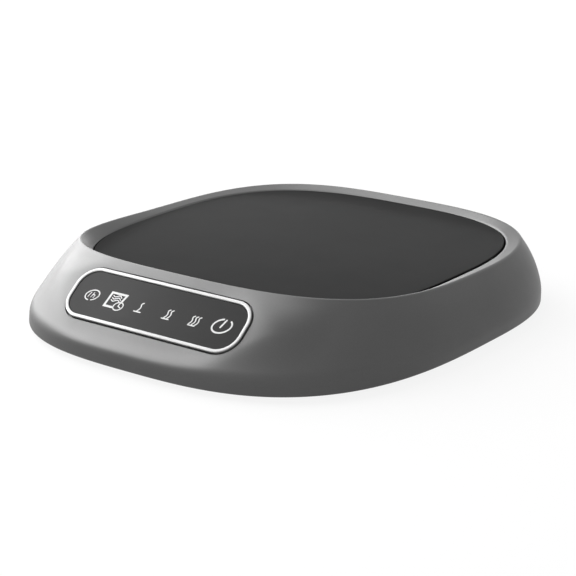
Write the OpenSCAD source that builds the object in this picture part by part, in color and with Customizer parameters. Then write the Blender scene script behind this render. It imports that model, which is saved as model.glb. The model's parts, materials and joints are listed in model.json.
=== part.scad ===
// Electric mug warmer: a rounded-square housing with a sloping control panel at the front,
// and a glass-topped heating plate that floats on four springs over a weight switch.
// Millimetres. +Z up, front towards -Y, origin at the bottom centre of the whole object.

/* [Heating plate] */
// Width of the glass plate, side to side
plate_w = 110; // [104:1:116]
// Depth of the glass plate, front to back
plate_d = 111.6; // [106:0.2:116]
// Thickness of the glass
glass_t = 4; // [3:0.5:4.5]
// Running gap between the glass and the rim
plate_gap = 0.5; // [0.4:0.1:0.8]
// Distance that the plate sinks under a mug
plate_travel = 1.2; // [0.8:0.1:1.3]

/* [Housing] */
// Overall width at the widest line
body_w = 134.4; // [132:0.2:140]
// Reach of the widest line in front of the plate's centre
front_reach = 79.4; // [77:0.2:84]
// Reach of the widest line behind the plate's centre
back_reach = 64.2; // [63.6:0.2:68]
// Height of the glass above the housing's bottom edge
plate_h = 17.5; // [17.5:0.1:19]
// Height of the rim over the glass at the front
lip_front = 4.66; // [3.5:0.1:5.5]
// Wall thickness of the housing
wall = 2.2; // [2:0.1:2.4]

/* [Control panel] */
// Length of the trim ring
panel_w = 62; // [58:0.2:64]
// Height of the trim ring along the slope
panel_h = 17; // [15:0.1:17.4]
// Corner radius of the trim ring
panel_r = 6.7; // [5:0.1:7.5]
// Width of the bright band of the trim ring
ring_w = 1.1; // [1:0.1:1.6]

/* [Base] */
// Height that the rubber feet stand below the housing
foot_h = 1.5; // [1.2:0.1:2.5]
// Radius of each rubber foot
foot_r = 6; // [5:0.5:7]
// Radius of the bore in the cord gland
gland_bore_r = 2.6; // [2.4:0.1:2.8]

/* [Hidden] */
$fn = 48;

// Gap between two faces that rest on each other, and round a fit that slides or is riveted
touch = 0.02;
slip = 0.05;

// Thicknesses of the layers, from the floor of the base cover up to the glass
cover_t = 2;
tray_t = 1.2;
pad_t = 1.1;
heater_t = 0.4;
spreader_t = 1.5;
seal_t = 0.3;

// Heights above the surface that the feet stand on
z_rim = foot_h;
z_widest = z_rim + 4.9;
z_cover = z_rim + 0.5;
z_floor = z_cover + cover_t;
z_glass = z_rim + plate_h;
z_glass_under = z_glass - glass_t;
z_carrier_top = z_glass_under - seal_t;
z_lip = z_carrier_top + slip;
z_spreader = z_glass_under - spreader_t;
z_heater = z_spreader - heater_t;
z_pad = z_heater - pad_t;
z_tray = z_pad - tray_t;

// Outlines as [half width, reach forward, reach back, exponent]. The crest is the rim's highest
// line, the widest line runs round the foot of the slope, and the rim outline is the bottom edge.
plate_outline = [plate_w / 2, plate_d / 2, plate_d / 2, 2.95];
crest_outline = [plate_w / 2 + 4.5, plate_w / 2 + 2.0, plate_w / 2 + 3.9, 3.1];
widest_outline = [body_w / 2, front_reach, back_reach, 2.81];
rim_outline = [body_w / 2 - 0.6, front_reach - 0.2, back_reach - 0.8, 2.94];
segments = 80;

// The plate's centre lies behind the middle of the footprint
plate_y = (front_reach - back_reach) / 2;

// Height of the rim over the glass, by distance behind the plate's centre: low at the sides
lip_side = 1;
lip_curve = 0.00064;
lip_slope = (lip_front - lip_side - lip_curve * pow(crest_outline[1], 2)) / crest_outline[1];
function crest_z(y) = z_glass + lip_side - lip_slope * y + lip_curve * y * y;

// Round corners of the wall's section, as [cut, steps]: a curve starts and ends this far from its
// corner. The flank's curve runs between points this far short of the two corners beside it.
rim_round = [0.9, 2];
widest_round = [2.2, 4];
crest_round = [0.9, 4];
lip_round = [0.25, 1];
flank_short = 2.8;
flank_steps = 8;
lip_chamfer = 0.3;

// How far the flank's middle stands out, as a share of its length: less in front, where the share
// rises with distance from the middle between these two distances
flank_bulge = 0.085;
front_bulge = 0.35;
front_half = [54, 66.5];

// How far a rounded edge falls short of the corner that it rounds off
edge_ease = 0.2;
function crest_ease(z) = [-0.2, 0.09 * (z - z_glass) - 0.05];

// The lip round the plate, and the least depth of the wall under the crest
lip_t = wall - 0.2;
crest_depth = 2.4;

// Control panel: its plane lies a little under the chord from the crest to the widest line
slope_top = [-crest_outline[1], crest_z(-crest_outline[1])];
slope_low = [-front_reach, z_widest];
slope_run = norm(slope_top - slope_low);
panel_down = 12.2;
panel_lean = 1.4;
panel_sink = 0.5;
panel_tilt = atan2(slope_top[1] - slope_low[1], slope_top[0] - slope_low[0]) + panel_lean;
panel_up = [cos(panel_tilt), sin(panel_tilt)];
panel_out = [-sin(panel_tilt), cos(panel_tilt)];
panel_centre = slope_top + (slope_low - slope_top) * panel_down / slope_run - panel_out * panel_sink;

// The flank is pressed flat round the panel. The share fades out to both sides, and towards the
// foot and the head of the slope, which lie at 0 and 1. The flat band narrows to the sides.
flat_side = [27, 50];
flat_foot = [-0.02, 0.19];
flat_head = [0.86, 1.02];
flat_narrow = 0.33;
flat_narrow_side = [22, 42];

// Parts of the panel, by depth under its plane
panel_gap = 0.35;
pocket_depth = 1.1;
ring_proud = 0.5;
ring_shoulder = 0.3;
lens_proud = 0.15;
window_size = [56, 9.8];
window_r = 2;
board_depth = 5.4;
pcb_t = 1.2;
led_x = [-22.9, -14.2, -5, 5.1, 14.4, 23.4];
key_leds = [1, 5];
panel_post = [30.4, -2];
panel_post_r = 2.2;

// Springs that carry the plate, each round a guide pin that runs in a sleeve
spring_xy = 38;
spring_r = 4.3;
spring_wire = 0.7;
spring_turns = 4;
sleeve_r = 3.6;
sleeve_h = 4;
guide_r = 2;
guide_bore_r = guide_r + slip;

// Power board on its standoffs
standoff_h = 1.6;
standoff_r = 2.6;
z_board = z_floor + standoff_h;
z_board_top = z_board + pcb_t;
board_holes = [[-46, -20], [46, -20], [-20, -56], [20, -56]];

// Case screws on each side, as [x, y, top of the boss]
screw_places = [[47, -60.5, 8.8], [47.4, 47.4, 11.5]];
boss_r = 3;
screw_r = 1.3;
pilot_r = screw_r + slip;
small_pilot_r = 1;

// Rubber feet on each side
foot_places = [[43, -46], [38, 46]];
foot_sink = 0.7;

// Cord entry
gland_z = 8.1;
gland_face = back_reach - 2.8;
gland_inner = gland_face - 3.8;
gland_neck_r = 3.5;
gland_flange = [3.8, 1.4];
gland_collar = [4.6, 1.6];
gland_block = [13, 4.6, 7.6];
clamp_y = 42;
clamp_cord_r = 2.5;
clamp_half = 9;
clamp_screw_x = 7;
clamp_pad = [5.5, 8, 1.2];

// Weight switch
switch_xy = [14, 14];
switch_size = [12.8, 5.8, 5];
plunger_r = 0.9;

// Heater leads, sensors and the straps that hold them
leads_xy = [-34, 6];
leads_window = [7, 7, 3];
leads_spacing = 1.9;
lead_r = 0.7;
sensor_places = [[0, 0], [-18, -12]];
round_window_r = 5;
long_window = [16, 7, 3];
strap_t = 0.3;
strap_w = 3;
strap_dip = 0.6;
rivet_r = 0.8;
rivet_y = 7.6;

// Connectors on the power board, as [x, y, length]: heater leads, weight switch, flat cable
connectors = [[leads_xy[0], leads_xy[1] - 24, 8], [-4, -18, 6], [-10, -54, 10]];
connector_d = 4;
connector_h = 2.3;

// Screws as [head radius, head height, shank radius, shank length]
case_screw = [2.6, 1.2, screw_r, 4.2];
board_screw = [2, 0.9, 0.95, 2.4];
panel_screw = [1.8, 0.9, 0.8, 3.2];
clamp_screw = [1.9, 0.9, 0.95, 2.4];

// Length added to a cutting tool past the face that it opens
past = 1;

/* Outline functions: a rounded square with bulging sides, as a radius by angle */
function reach(outline, angle) = sin(angle) < 0 ? outline[1] : outline[2];
function radius(outline, angle) =
    pow(pow(abs(cos(angle)) / outline[0], outline[3])
        + pow(abs(sin(angle)) / reach(outline, angle), outline[3]), -1 / outline[3]);
function ring_points(outline, inset = 0, count = 96) = [
    for (i = [0:count - 1]) let (a = 360 * i / count, r = radius(outline, a) - inset)
        [r * cos(a), r * sin(a)]
];
function smooth(range, x) =
    let (t = min(1, max(0, (x - range[0]) / (range[1] - range[0])))) t * t * (3 - 2 * t);

/* Corners of a path, each rounded to a curve: a corner is [point, [cut, steps]] */
function toward(p, q, d) = p + (q - p) * min(1, d / norm(q - p));
function bend(a, b, c, t) = a * (1 - t) * (1 - t) + b * 2 * t * (1 - t) + c * t * t;
function rounded_corner(before, corner, after, cut, steps) = [
    for (k = [0:steps])
        bend(toward(corner, before, cut), corner, toward(corner, after, cut), k / steps)
];
function rounded_corners(corners) = [
    for (i = [1:len(corners) - 2])
        let (c = corners[i])
            rounded_corner(corners[i - 1][0], c[0], corners[i + 1][0], c[1][0], c[1][1])
];

/* The wall's section at one angle, as [distance from the plate's axis, height] */
function bulge(angle, r) =
    let (side = sin(angle) > 0 ? 1 : smooth(front_half, abs(r * cos(angle))))
        flank_bulge * (front_bulge + (1 - front_bulge) * side);
function inner_z(r, crest, widest) =
    let (run = widest - crest, drop = wall * norm(run) / abs(run[0]))
        crest[1] - drop + (r - crest[0]) * run[1] / run[0];
function section(angle) =
    let (crest_r = radius(crest_outline, angle),
         widest_r = radius(widest_outline, angle) + edge_ease,
         rim_r = radius(rim_outline, angle) + edge_ease,
         hole_r = radius(plate_outline, angle) + plate_gap,
         crest = [crest_r, crest_z(crest_r * sin(angle))],
         widest = [widest_r, z_widest],
         run = widest - crest,
         middle = (crest + widest) / 2 + bulge(angle, widest_r) * [-run[1], run[0]],
         tip_r = hole_r + lip_t,
         foot_r = widest_r - wall,
         bottom = [rim_r - wall, z_rim],
         lip_low = [hole_r, z_glass - lip_chamfer],
         curves = rounded_corners([
             [bottom], [[rim_r, z_rim], rim_round], [widest, widest_round],
             [middle, [norm(run) / 2 - flank_short, flank_steps]],
             [crest + crest_ease(crest[1]), crest_round],
             [[hole_r + lip_chamfer, z_glass], lip_round], [lip_low]
         ]))
        [
            concat([bottom], [for (k = [0:3]) each curves[k]]),
            concat(curves[4], [
                lip_low, [hole_r, z_lip], [tip_r, z_lip],
                [tip_r, min(inner_z(tip_r, crest, widest), crest[1] - crest_depth)],
                [foot_r, inner_z(foot_r, crest, widest)]
            ])
        ];

/* The outer skin is pressed flat round the control panel */
function flattened(p, angle) =
    let (low = [radius(widest_outline, angle) + edge_ease, z_widest],
         high_r = radius(crest_outline, angle),
         run = [high_r, crest_z(high_r * sin(angle))] - low,
         place = ([norm([p[0], p[1]]), p[2]] - low) * run / (run * run),
         narrow = flat_narrow * smooth(flat_narrow_side, abs(p[0])),
         share = p[1] > 0 ? 0
               : (1 - smooth(flat_side, abs(p[0]))) * smooth(flat_foot + [0, narrow], place)
                 * (1 - smooth(flat_head - [narrow, 0], place)),
         out = ([p[1], p[2]] - panel_centre) * panel_out)
        [p[0], p[1] - share * out * panel_out[0], p[2] - share * out * panel_out[1]];
function turned(p, angle) = [p[0] * cos(angle), p[0] * sin(angle), p[1]];
function wall_ring(angle) =
    let (s = section(angle))
        concat([for (p = s[0]) flattened(turned(p, angle), angle)],
               [for (p = s[1]) turned(p, angle)]);

/* Solids and places that several parts share */
module tube_of_rings(rings) {
    // A closed loop of sections, each joined to the next, as one solid
    n = len(rings);
    m = len(rings[0]);
    points = [for (ring = rings) each ring];
    faces = [
        for (i = [0:n - 1], j = [0:m - 1])
            let (a = i * m + j, b = i * m + (j + 1) % m,
                 c = ((i + 1) % n) * m + j, d = ((i + 1) % n) * m + (j + 1) % m)
                each [[a, b, d], [a, d, c]]
    ];
    polyhedron(points, faces);
}

module sweep(path, r, sides = 8) {
    // A round tube along a path, with flat ends
    n = len(path);
    rings = [
        for (i = [0:n - 1])
            let (t = path[min(n - 1, i + 1)] - path[max(0, i - 1)], dir = t / norm(t),
                 ref = abs(dir[2]) > 0.9 ? [1, 0, 0] : [0, 0, 1],
                 u = cross(ref, dir) / norm(cross(ref, dir)), v = cross(dir, u))
                for (k = [0:sides - 1])
                    path[i] + r * (cos(360 * k / sides) * u + sin(360 * k / sides) * v)
    ];
    polyhedron(rings, concat(
        [[for (k = [0:sides - 1]) k], [for (k = [sides - 1:-1:0]) (n - 1) * sides + k]],
        [for (i = [0:n - 2], k = [0:sides - 1])
            let (a = i * sides + k, b = i * sides + (k + 1) % sides)
                [a, a + sides, b + sides, b]]
    ));
}

function coil(r, low, high, turns, steps = 12) = [
    for (i = [0:turns * steps]) let (a = 360 * i / steps)
        [r * cos(a), r * sin(a), low + (high - low) * i / (turns * steps)]
];

module slab(outline, inset, low, high) {
    // A plate of an outline's shape, drawn in by an inset, between two heights
    translate([0, 0, low]) linear_extrude(high - low) polygon(ring_points(outline, inset));
}

module rounded(size, r) {
    // A flat rectangle with true round corners
    union() {
        square([size[0] - 2 * r, size[1]], center = true);
        square([size[0], size[1] - 2 * r], center = true);
        for (x = [-1, 1], y = [-1, 1])
            translate([x * (size[0] / 2 - r), y * (size[1] / 2 - r)]) circle(r);
    }
}

module rounded_block(size, r, low, high) {
    translate([0, 0, low]) linear_extrude(high - low) rounded(size, r);
}

module block(size, at) {
    // A box standing on the point given
    translate([at[0] - size[0] / 2, at[1] - size[1] / 2, at[2]]) cube(size);
}

module post(r, low, high, at = [0, 0]) {
    translate([at[0], at[1], low]) cylinder(r = r, h = high - low);
}

module pan_screw(screw) {
    // A pan-head screw whose head starts at zero and whose shank points up
    slot = [1.1 * screw[0], 0.6, 0.5];
    difference() {
        post(screw[0], 0, screw[1]);
        for (a = [0, 90]) rotate(a) block([slot[0], slot[1], slot[2] + past], [0, 0, -past]);
    }
    post(screw[2], screw[1], screw[1] + screw[3]);
}

module from_plate() {
    translate([0, plate_y, 0]) children();
}

module on_panel() {
    // X along the panel, Y up the slope, Z out of the slope
    from_plate() translate([0, panel_centre[0], panel_centre[1]]) rotate([panel_tilt, 0, 0])
        children();
}

module on_both_sides(places) {
    for (s = [-1, 1], p = places) translate([s * p[0], p[1], 0]) children();
}

module at_springs() {
    on_both_sides([[spring_xy, -spring_xy], [spring_xy, spring_xy]]) children();
}

module at_panel_posts() {
    on_both_sides([panel_post]) children();
}

module along_cord() {
    // Z runs out through the back wall, along the cord's axis
    translate([0, 0, gland_z]) rotate([-90, 0, 0]) children();
}

/* Housing */
module bosses() {
    for (c = screw_places) on_both_sides([c]) post(boss_r, z_floor, c[2]);
}

module boss_pilots() {
    roof = 1.2;
    for (c = screw_places) on_both_sides([c]) post(pilot_r, z_floor - past, c[2] - roof);
}

module panel_opening() {
    // The recess of the panel and the window behind its lens
    edge = 2 * panel_gap;
    above = 4;
    rounded_block([panel_w + edge, panel_h + edge], panel_r + panel_gap, -pocket_depth, above);
    rounded_block(window_size, window_r, -board_depth - past, 0);
}

module housing_shell() {
    thread_r = 0.85;
    post_root = 0.5;
    collar_gap = 0.15;
    outside = 6;
    rings = [for (i = [0:segments - 1]) wall_ring(360 * i / segments)];
    color("dimgray") difference() {
        union() {
            from_plate() tube_of_rings(rings);
            from_plate() bosses();
            from_plate() block(gland_block, [0, gland_inner + gland_block[1] / 2, z_floor]);
            on_panel() at_panel_posts() post(panel_post_r, -board_depth, -pocket_depth - post_root);
        }
        from_plate() boss_pilots();
        on_panel() {
            panel_opening();
            at_panel_posts() post(thread_r, -board_depth - past, -wall - 1);
        }
        from_plate() along_cord() {
            post(gland_neck_r + slip, gland_inner - past, gland_face + past);
            post(gland_collar[0] + collar_gap, gland_face, gland_face + outside);
        }
    }
}

/* Base */
module vents() {
    slot = [2.4, 11];
    slot_r = 1.19;
    pitch = 8;
    for (k = [-2:2], y = [-2, 28])
        translate([k * pitch, y, 0])
            rounded_block(slot, slot_r, z_cover - past, z_floor + past);
}

module screw_recesses() {
    shank_hole_r = 1.5;
    head_r = 2.9;
    head_depth = 1.3;
    on_both_sides(screw_places) {
        post(shank_hole_r, z_cover - past, z_floor + past);
        post(head_r, z_cover - past, z_cover + head_depth);
    }
}

module base_cover() {
    edge_gap = 0.35;
    seat_gap = 0.1;
    pilot_depth = 1;
    from_plate() color("dimgray") difference() {
        union() {
            slab(rim_outline, wall + edge_gap, z_cover, z_floor);
            at_springs() post(sleeve_r, z_floor, z_floor + sleeve_h);
            for (h = board_holes) post(standoff_r, z_floor, z_board, h);
            on_both_sides([[clamp_screw_x, clamp_y]]) block(clamp_pad, [0, 0, z_floor]);
        }
        at_springs() post(guide_bore_r, z_floor - seat_gap, z_floor + sleeve_h + past);
        for (h = board_holes) post(small_pilot_r, z_floor - pilot_depth, z_board + past, h);
        on_both_sides([[clamp_screw_x, clamp_y]])
            post(small_pilot_r, z_floor - pilot_depth, z_floor + clamp_pad[2] + past);
        screw_recesses();
        on_both_sides(foot_places) post(foot_r + seat_gap, z_cover - past, z_cover + foot_sink);
        vents();
    }
}

module rubber_feet() {
    bevel = [0.5, 0.6];
    body_r = foot_r - 0.1;
    from_plate() color("black") on_both_sides(foot_places) {
        cylinder(r1 = body_r - bevel[0], r2 = body_r, h = bevel[1]);
        post(body_r, bevel[1], z_cover + foot_sink - slip);
    }
}

module case_screws() {
    from_plate() color("silver") on_both_sides(screw_places)
        translate([0, 0, z_cover + 0.1]) pan_screw(case_screw);
}

/* Control panel */
module trim_ring() {
    ease = 0.25;
    outer = [panel_w, panel_h];
    shoulder = ring_proud - ring_shoulder;
    color("gainsboro") on_panel() difference() {
        union() {
            rounded_block(outer, panel_r, -pocket_depth, shoulder);
            rounded_block(outer - 2 * [ease, ease], panel_r - ease, shoulder, ring_proud);
        }
        rounded_block(outer - 2 * [ring_w, ring_w], panel_r - ring_w,
                      -pocket_depth - past, ring_proud + past);
    }
}

module panel_lens() {
    inset = ring_w + slip;
    color("black") on_panel()
        rounded_block([panel_w - 2 * inset, panel_h - 2 * inset], panel_r - inset,
                      -pocket_depth, lens_proud);
}

module light_baffle() {
    // A white block with a well over each light, and wider wells for the touch springs
    gap = 0.2;
    well_r = 1.9;
    key_well_r = 3.6;
    low = -board_depth - past;
    color("white") on_panel() difference() {
        rounded_block(window_size - 2 * [gap, gap], window_r - gap,
                      -board_depth, -pocket_depth - slip);
        for (x = led_x) post(well_r, low, 0, [x, 0]);
        for (k = key_leds) post(key_well_r, low, 0, [led_x[k], 0]);
    }
}

module control_board() {
    size = [67, 11];
    corner_r = 1;
    down = 1.6;
    hole_r = 1.15;
    color("darkgreen") on_panel() difference() {
        translate([0, -down, 0])
            rounded_block(size, corner_r, -board_depth - pcb_t, -board_depth - touch);
        at_panel_posts() post(hole_r, -board_depth - pcb_t - past, 0);
    }
}

module indicator_leds() {
    led = [1.6, 0.8, 0.7];
    color("white") on_panel() for (x = led_x) block(led, [x, 0, -board_depth]);
}

module touch_springs() {
    coil_r = 2.9;
    wire_r = 0.2;
    end_gap = 0.3;
    turns = 4;
    path = coil(coil_r, -board_depth + end_gap, -pocket_depth - end_gap, turns);
    color("silver") on_panel() for (k = key_leds)
        translate([led_x[k], 0, 0]) sweep(path, wire_r, 6);
}

module under_board(size, at) {
    // A box hanging from the back of the control board
    block(size, [at[0], at[1], -board_depth - pcb_t - size[2]]);
}

module control_chip() {
    color("black") on_panel() under_board([7, 5, 1], [6, -2]);
}

panel_plug = [10, 3.6, 1.8];
panel_plug_at = [-10, -3.6];
module panel_connector() {
    color("ivory") on_panel() under_board(panel_plug, panel_plug_at);
}

module control_board_screws() {
    color("silver") on_panel() at_panel_posts()
        translate([0, 0, -board_depth - pcb_t - panel_screw[1] - touch]) pan_screw(panel_screw);
}

/* Power board */
module power_board() {
    half = 50;
    front = -60;
    back = -14;
    corner = 8;
    hole_r = 1.2;
    sleeve_hole_r = 5.4;
    low = z_board - past;
    high = z_board_top + past;
    from_plate() color("darkgreen") difference() {
        translate([0, 0, z_board]) linear_extrude(pcb_t) polygon([
            [-half, back], [-half, front + corner], [-half + corner, front],
            [half - corner, front], [half, front + corner], [half, back]
        ]);
        on_both_sides([[spring_xy, -spring_xy]]) post(sleeve_hole_r, low, high);
        for (h = board_holes) post(hole_r, low, high, h);
    }
}

module power_board_screws() {
    from_plate() color("silver") for (h = board_holes)
        translate([h[0], h[1], z_board_top + board_screw[1]]) mirror([0, 0, 1])
            pan_screw(board_screw);
}

module filter_capacitor() {
    // A can lying on the floor along the board's back edge, where there is height for it
    at = [30, -10.6];
    can = [2.5, 11];
    neck = [2.2, 0.6];
    lead = [0.25, 2];
    from_plate() color("midnightblue") translate([at[0], at[1], z_floor + can[0] + 0.3])
        rotate([0, 90, 0]) {
            post(neck[0], 0, neck[1]);
            post(can[0], neck[1], can[1]);
            for (y = [-1, 1]) post(lead[0], -lead[1], 0, [0, y]);
        }
}

module terminal_block() {
    // Two wells for the screws, and two holes in the back face for the cord's wires
    at = [24, 29];
    size = [11, 7.4, 5.2];
    pole_x = 2.6;
    screw_well = [1.5, 3.6];
    wire_hole = [1.1, 1.5];
    wire_z = 1.8;
    from_plate() color("seagreen") translate([at[0], at[1], z_floor]) difference() {
        block(size, [0, 0, 0]);
        for (x = [-pole_x, pole_x]) {
            post(screw_well[0], screw_well[1], size[2] + past, [x, 0]);
            translate([x, 0, wire_z]) rotate([-90, 0, 0])
                post(wire_hole[0], wire_hole[1], size[1] / 2 + past);
        }
    }
}

module bridge_rectifier() {
    from_plate() color("black") block([4.7, 4, 2.1], [-28, -26, z_board_top]);
}

module power_triac() {
    // A moulded body with a soldered tab behind it
    at = [24, -24];
    body = [6.5, 6, 2.2];
    tab = [5.4, 1.6, 0.6];
    from_plate() color("black") {
        block(body, [at[0], at[1], z_board_top]);
        block(tab, [at[0], at[1] + (body[1] + tab[1]) / 2, z_board_top]);
    }
}

module line_fuse() {
    // A tube with an end cap at each end, lying on the board
    at = [8, -48];
    length = 8;
    tube_r = 1.1;
    cap = [1.25, 1.6];
    from_plate() color("silver") translate([at[0], at[1], z_board_top + cap[0] + slip])
        rotate([0, 90, 0]) {
            post(tube_r, 0, length);
            for (x = [0, length - cap[1]]) post(cap[0], x, x + cap[1]);
        }
}

module regulator_chip() {
    from_plate() color("black") block([5, 4, 1.5], [-10, -34, z_board_top]);
}

module board_connectors() {
    shell_t = 0.7;
    floor_t = 0.8;
    from_plate() color("ivory") for (c = connectors) difference() {
        block([c[2], connector_d, connector_h], [c[0], c[1], z_board_top]);
        block([c[2] - 2 * shell_t, connector_d - 1.6, connector_h], [c[0], c[1], z_board_top + floor_t]);
    }
}

module ribbon_cable() {
    // A flat cable from the control board's connector down to the power board
    cable = [8, 0.5];
    steps = 8;
    plug_depth = -board_depth - pcb_t - panel_plug[2] - 0.2;
    high = panel_centre + panel_up * panel_plug_at[1] + panel_out * plug_depth;
    knee = [-61.5, z_board_top + 0.1];
    low = [connectors[2][1] - connector_d / 2 - 0.1, z_board_top + 1.2];
    middle = [for (k = [0:steps]) bend(high, knee, low, k / steps)];
    aside = [
        for (i = [0:steps])
            let (t = middle[min(steps, i + 1)] - middle[max(0, i - 1)])
                [-t[1], t[0]] / norm(t) * cable[1] / 2
    ];
    from_plate() color("lightgray") translate([panel_plug_at[0] - cable[0] / 2, 0, 0])
        rotate([90, 0, 90]) linear_extrude(cable[0]) polygon(concat(
            [for (i = [0:steps]) middle[i] + aside[i]],
            [for (i = [steps:-1:0]) middle[i] - aside[i]]
        ));
}

/* Weight switch */
module weight_switch() {
    bore_floor = 0.6;
    from_plate() color("black") difference() {
        block(switch_size, [switch_xy[0], switch_xy[1], z_floor]);
        post(plunger_r + slip, z_floor + bore_floor, z_tray, switch_xy);
    }
}

module switch_plunger() {
    foot_z = 2;
    from_plate() color("red") post(plunger_r, z_floor + foot_z, z_tray - slip, switch_xy);
}

/* Cord entry */
module cord_gland() {
    // A collar outside the wall, a neck through it and a flange behind it
    low = gland_inner - gland_flange[1];
    from_plate() color("black") along_cord() difference() {
        union() {
            post(gland_collar[0], gland_face, gland_face + gland_collar[1]);
            post(gland_neck_r, low, gland_face);
            post(gland_flange[0], low, gland_inner - touch);
        }
        post(gland_bore_r, low - past, gland_face + gland_collar[1] + past);
    }
}

module cord_clamp() {
    // A saddle over the cord, screwed down beside it
    saddle_t = 0.9;
    strap = [2 * clamp_half, 6, 1.4];
    strap_z = z_floor + clamp_pad[2] + slip;
    below = 2;
    screw_hole_r = 1.2;
    cord_z = z_floor + clamp_cord_r;
    from_plate() color("ivory") difference() {
        union() {
            block(strap, [0, clamp_y, strap_z]);
            translate([0, clamp_y + strap[1] / 2, cord_z]) rotate([90, 0, 0])
                post(clamp_cord_r + saddle_t, 0, strap[1]);
        }
        translate([0, clamp_y + strap[1] / 2 + past, cord_z]) rotate([90, 0, 0])
            post(clamp_cord_r, 0, strap[1] + 2 * past);
        block([strap[0], strap[1] + 2 * past, strap_z - z_floor + below], [0, clamp_y, z_floor - below]);
        on_both_sides([[clamp_screw_x, clamp_y]])
            post(screw_hole_r, z_floor, strap_z + strap[2] + past);
    }
}

module cord_clamp_screws() {
    head_top = z_floor + 3.6;
    from_plate() color("silver") on_both_sides([[clamp_screw_x, clamp_y]])
        translate([0, 0, head_top]) mirror([0, 0, 1]) pan_screw(clamp_screw);
}

/* Heating plate */
module plate_glass() {
    // The top edge is bevelled all round
    bevel = 0.5;
    low = ring_points(plate_outline);
    high = ring_points(plate_outline, bevel);
    n = len(low);
    function lift(points, z) = [for (p = points) [p[0], p[1], z]];
    from_plate() color("black") polyhedron(
        concat(lift(low, z_glass_under), lift(low, z_glass - bevel), lift(high, z_glass)),
        concat(
            [[for (k = [0:n - 1]) k], [for (k = [n - 1:-1:0]) 2 * n + k]],
            [for (row = [0, 1], k = [0:n - 1])
                let (a = row * n + k, b = row * n + (k + 1) % n) [a, a + n, b + n, b]]
        ));
}

module glass_seal() {
    outer = 1.4;
    inner = 2.8;
    from_plate() color("darkred") difference() {
        slab(plate_outline, outer, z_carrier_top, z_glass_under);
        slab(plate_outline, inner, z_carrier_top - past, z_glass_under + past);
    }
}

module heat_spreader() {
    inset = 3.4;
    from_plate() color("silver") slab(plate_outline, inset, z_spreader, z_glass_under);
}

module sensor_windows(low) {
    // A round window for the thermistor and a long one for the thermal fuse
    post(round_window_r, low, low + long_window[2], sensor_places[0]);
    block(long_window, [sensor_places[1][0], sensor_places[1][1], low]);
}

module lead_window(low) {
    block(leads_window, [leads_xy[0], leads_xy[1] - 1, low]);
}

module at_rivets() {
    for (w = sensor_places, y = [-1, 1]) translate([w[0], w[1] + y * rivet_y, 0]) children();
}

module heater_element() {
    // An etched foil laminate with a window for each sensor
    inset = 6;
    from_plate() color("goldenrod") difference() {
        slab(plate_outline, inset, z_heater, z_spreader);
        sensor_windows(z_heater - past);
    }
}

module insulation_pad() {
    inset = 4.5;
    from_plate() color("wheat") difference() {
        slab(plate_outline, inset, z_pad, z_heater);
        sensor_windows(z_pad - past);
        lead_window(z_pad - past);
    }
}

module plate_carrier() {
    // A heat-resistant tray under the glass, with a flange below the rim and four guide pins
    tray_inset = 1;
    pocket_inset = 3;
    flange = 2.3;
    flange_t = 1.5;
    cord_notch = [13, 10, 3];
    hollow = [36, 20];
    hollow_r = 4;
    low = z_tray - past;
    from_plate() color("darkslategray") {
        difference() {
            union() {
                slab(plate_outline, tray_inset, z_tray, z_carrier_top);
                slab(plate_outline, -flange, z_carrier_top - flange_t, z_carrier_top);
            }
            slab(plate_outline, pocket_inset, z_pad, z_glass);
            block(cord_notch, [0, clamp_y, low]);
            sensor_windows(low);
            lead_window(low);
            on_both_sides([hollow]) post(hollow_r, low, z_pad + past);
            at_rivets() post(rivet_r + slip, low, z_pad + past);
        }
        at_springs() post(guide_r, z_floor + plate_travel, z_tray);
    }
}

module thermistor() {
    bead = [1.3, 1.6];
    stem_r = 0.7;
    from_plate() color("orange") translate(sensor_places[0]) {
        post(bead[0], z_spreader - bead[1], z_spreader);
        post(stem_r, z_tray - strap_dip, z_spreader - bead[1]);
    }
}

module thermal_fuse() {
    // A metal can lying under the spreader, with a lead at each end
    can = [1.6, 9];
    lead = [0.35, 2];
    from_plate() color("silver")
        translate([sensor_places[1][0] - can[1] / 2, sensor_places[1][1], z_spreader - can[0] - 0.1])
            rotate([0, 90, 0]) {
                post(can[0], 0, can[1]);
                for (x = [-lead[1], can[1]]) post(lead[0], x, x + lead[1]);
            }
}

module sensor_straps() {
    // Spring-steel straps across the two windows, each dipping under its sensor
    end = 9.5;
    dip_start = 4.4;
    dip_end = 3.2;
    top = [
        [-end, 0], [-dip_start, 0], [-dip_end, -strap_dip],
        [dip_end, -strap_dip], [dip_start, 0], [end, 0]
    ];
    under = [for (k = [len(top) - 1:-1:0]) top[k] - [0, strap_t]];
    from_plate() color("gainsboro") difference() {
        for (w = sensor_places) translate([w[0] - strap_w / 2, w[1], z_tray - touch / 2])
            rotate([90, 0, 90]) linear_extrude(strap_w) polygon(concat(top, under));
        at_rivets() post(rivet_r + slip, z_tray - past, z_tray + past);
    }
}

module strap_rivets() {
    head = [1.3, 0.38];
    seat = z_tray - strap_t - touch;
    from_plate() color("silver") at_rivets() {
        post(rivet_r, seat, z_pad - 0.1);
        post(head[0], seat - head[1], seat);
    }
}

module plate_springs() {
    wire_r = spring_wire / 2;
    path = coil(spring_r, z_floor + wire_r + touch, z_tray - wire_r - touch, spring_turns);
    from_plate() color("silver") at_springs() sweep(path, wire_r, 6);
}

module heater_leads() {
    // Two leads from the board's connector, turning up to the heater's tabs
    steps = 10;
    plug = [connectors[0][1] + connector_d / 2 + 0.1, z_board_top + 1.2];
    under_tab = [leads_xy[1], plug[1]];
    tab = [leads_xy[1], z_heater - 0.15];
    from_plate() color("red") for (x = [-1, 1])
        sweep([
            for (k = [0:steps]) let (p = bend(plug, under_tab, tab, k / steps))
                [leads_xy[0] + x * leads_spacing, p[0], p[1]]
        ], lead_r);
}

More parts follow.
